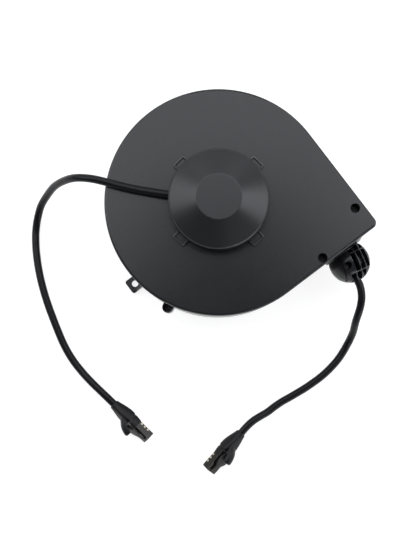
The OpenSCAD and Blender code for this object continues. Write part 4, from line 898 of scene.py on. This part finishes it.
soften_cage(boot)
hood = pull_cage(HOOD_RINGS, first_step=0.6, corner=1.1)
soften_cage(hood)
cut_with(boot, hood, "UNION")
print("boot with hood, faces:", len(boot.data.polygons))

# %% [markdown]
# ## The opening and the plug's seat
# The latch moves in an opening through the hood, and the plug sits in the boot's front end. Both could be
# part of the cage, but they have crisp rims, which a cut gives at once. The opening is cut by a cylinder
# across the hood, its front half drawn forward past the boot's end, and the seat by a box a little larger
# than the plug.

# %% Opening and seat
OPENING_PLACE, OPENING_RADIUS, OPENING_CUTTER = (0.0224, 0, 0.0056), 0.0026, 0.018
OPENING_FRONT, OPENING_DRAW = 0.0225, (0.008, 0, 0.0004)
OPENING_FLOOR, OPENING_FLARE = 0.003, 1.25  # the front half is flared upwards from this floor
SEAT_PLACE, SEAT_SIZE = (0.025, 0, 0), (0.01, 0.01176, 0.00668)

opening = add_cylinder(40, OPENING_RADIUS, OPENING_CUTTER, OPENING_PLACE, ALONG_Y)
bpy.ops.object.mode_set(mode="EDIT")
pick(opening, "VERT", lambda v: v.co.x > OPENING_FRONT)
bpy.ops.transform.translate(value=OPENING_DRAW)
bpy.ops.transform.resize(value=(1, 1, OPENING_FLARE), center_override=(0, 0, OPENING_FLOOR))
bpy.ops.object.mode_set(mode="OBJECT")
cut_with(boot, opening, "DIFFERENCE")
cut_with(boot, add_box(SEAT_SIZE, SEAT_PLACE), "DIFFERENCE")
print("boot faces:", len(boot.data.polygons))

# %% [markdown]
# ## The latch
# The latch is a thin leaf of plastic that springs from the plug's nose and widens into a thumb pad. A flat
# plate could be cut to its outline, but the leaf also rises and thins. So it is pulled ring by ring, from the
# nose to the pad's round end. It is pulled forward like the boot, and then turned to point back.

# %% Latch
LATCH_RINGS = [  # distance from the cord's end, half width, lowest, highest, in millimetres
    (40.3, 2.9, 3.35, 4.35), (39.0, 2.3, 3.9, 4.9), (37.0, 1.9, 4.2, 5.15), (35.0, 2.0, 4.4, 5.35),
    (33.2, 3.2, 4.55, 5.5), (31.2, 4.9, 4.75, 5.7), (28.8, 5.9, 4.95, 5.95), (26.2, 6.15, 5.15, 6.2),
    (23.8, 5.9, 5.35, 6.4), (22.0, 5.1, 5.5, 6.45), (20.6, 3.8, 5.65, 6.45),
]
PAD_START, PAD_CROWN = 0.034, 0.0006

mirrored = [(-x, wide, low, high) for x, wide, low, high in LATCH_RINGS]
leaf = pull_cage(mirrored, first_step=0.4, corner=0.3)
# The pad is crowned: a line along its middle is raised over its side edges.
bpy.ops.mesh.select_all(action="SELECT")
bpy.ops.mesh.bisect(plane_co=(0, 0, 0), plane_no=(0, 1, 0))
pick(leaf, "VERT", lambda v: abs(v.co.y) < HAIR and v.co.x > -PAD_START)
bpy.ops.transform.translate(value=(0, 0, PAD_CROWN))
bpy.ops.mesh.select_all(action="SELECT")
bpy.ops.transform.rotate(value=math.pi, orient_axis="Z", center_override=(0, 0, 0))
soften_cage(leaf)
print("latch faces:", len(leaf.data.polygons), "rear end:", round(min(v.co.x for v in leaf.data.vertices), 4))

# %% [markdown]
# ## One boot and one latch for each plug
# Both ends of the cord have the same boot and latch. They are modelled once, lying along the X axis, and
# copied with a mesh of their own. Each is then turned to its plug, and the turn is applied to the mesh, so
# that the object itself stays at the origin.

# %% Boots and latches in their places
def settle(piece, side, part, material):
    """Turns a piece made in the plug's own axes into its place, and lets it stand for that part's node."""
    node = side + "_" + part
    wake(piece)
    piece.name = node + "_finished"
    piece.matrix_world = plug_place[side]
    bpy.ops.object.transform_apply(location=True, rotation=True, scale=True)
    bpy.ops.object.shade_smooth_by_angle(angle=math.radians(40))
    wear(piece, material)
    stand_for(piece, node)


for first, part, material in ((boot, "boot", boot_plastic), (leaf, "latch", latch_plastic)):
    second = first.copy()
    second.data = first.data.copy()
    bpy.context.scene.collection.objects.link(second)
    settle(first, "lead", part, material)
    settle(second, "reel", part, material)

# %% [markdown]
# ## The cable inside
# Under the shell the cable is wound in layers, and the frame holds it as one plain ring. A ring could stay,
# since nothing of it shows, but the lesson shows the winding as it is: one line that goes down a layer, steps
# out by a cord's thickness and comes back up the next.

# %% Full layers
LAYER_RADII = [46.8, 53.2, 59.6, 66.0, 72.4]
WOUND_FROM, WOUND_TO = 13.4, 52.1  # lowest and highest turn of a full layer, in millimetres
LAYER_TURNS, TURN_POINTS = 6, 16
TAIL_ANGLE = 100.0  # the inner end enters the winding here


def turn_place(radius, degrees, z):
    """A point on a turn round the axle, from millimetres."""
    angle = math.radians(degrees)
    return Vector((radius * math.cos(angle), radius * math.sin(angle), z)) / 1000


layers = []
angle = TAIL_ANGLE
for k, radius in enumerate(LAYER_RADII):
    for i in range(LAYER_TURNS * TURN_POINTS + 1):
        climbed = i / (LAYER_TURNS * TURN_POINTS)
        along = climbed if k % 2 == 0 else 1 - climbed
        layers.append(turn_place(radius, angle, WOUND_TO + (WOUND_FROM - WOUND_TO) * along))
        angle += 360 / TURN_POINTS
wound = [lay_tube("wound_layers", layers, "cable_core", sides=8, steps=2)]
print("points in the layers:", len(layers))

# %% [markdown]
# ## The last turns
# The last layer holds only three turns, with a little air between them. They could be drawn point by point,
# but their end has to meet the straight stretch to the ball at a tangent, so the helix is worked out
# backwards from the point where the two touch.

# %% Last turns
LAYER_RADIUS, EXIT_HEIGHT, TURN_PITCH = 79.8, 34.0, 6.85  # in millimetres
LAST_TURNS, HELIX_POINTS = 3, 24
TANGENT = -13.0838  # degrees
PULL = Vector((-0.226376, -0.974040, 0))  # direction in which the cord is pulled out

tangent_place = turn_place(LAYER_RADIUS, TANGENT, EXIT_HEIGHT)
helix = []
for i in range(LAST_TURNS * HELIX_POINTS, -1, -1):
    back = i / HELIX_POINTS
    helix.append(turn_place(LAYER_RADIUS, TANGENT + 360 * back, EXIT_HEIGHT - TURN_PITCH * back))
start_way = (helix[0] - helix[1]).normalized()
line = [helix[0] + start_way * CORD_THICKNESS] + helix + [tangent_place + PULL * CORD_THICKNESS]
wound.append(lay_tube("last_turns", line, "cable_turns", sides=8, steps=3))
print("points in the last layer:", len(line))

# %% [markdown]
# ## Straight stretches
# Three short lengths of cable join the winding to the rest: the run to the ball, which comes out with the
# pulled cord, the inner end in the drum, and the lead's end in its clamp under the cap. A cylinder would do,
# but the tube that lays the cords keeps them all alike.

# %% Stretches
RUN_FROM, RUN_TO = 0.00685, 0.10194  # along the pull, from the tangent point
TAIL_FROM, TAIL_TO, TAIL_HEIGHT = 10, 43.2, 51.2  # from the axle outwards, in millimetres
CLAMPED_END, CAP_SIDE = 0.0265, 0.0392  # from the axle, in metres


def stretch(name, start, end, node):
    """A straight length of cable, with a point at each quarter."""
    quarters = [start + (end - start) * t for t in (0, 0.25, 0.5, 0.75, 1)]
    return lay_tube(name, quarters, node, sides=14, steps=2)


def on_lead(distance):
    """A point on the lead's middle, at that distance from the axle."""
    way = Vector((math.cos(LEAD_WAY), math.sin(LEAD_WAY), 0))
    return way * distance + Vector((-way.y, way.x, 0)) * LEAD_STEP + Vector((0, 0, LEAD_HEIGHT))


wound += [
    stretch("run_to_ball", tangent_place + PULL * RUN_FROM, tangent_place + PULL * RUN_TO, "cable_run"),
    stretch("tail_in_drum", turn_place(TAIL_FROM, TAIL_ANGLE, TAIL_HEIGHT),
            turn_place(TAIL_TO, TAIL_ANGLE, TAIL_HEIGHT), "drum_tail"),
    stretch("tail_under_cap", on_lead(CLAMPED_END), on_lead(CAP_SIDE), "lead_tail"),
]
for piece in wound:
    wear(piece, jacket)
print("inner cable pieces:", len(wound))

# %% [markdown]
# ## The length of each cord
# Each cord's length, measured along its middle line, is printed.

print("cords:", {side: round(cord["length"], 4) for side, cord in cords.items()})
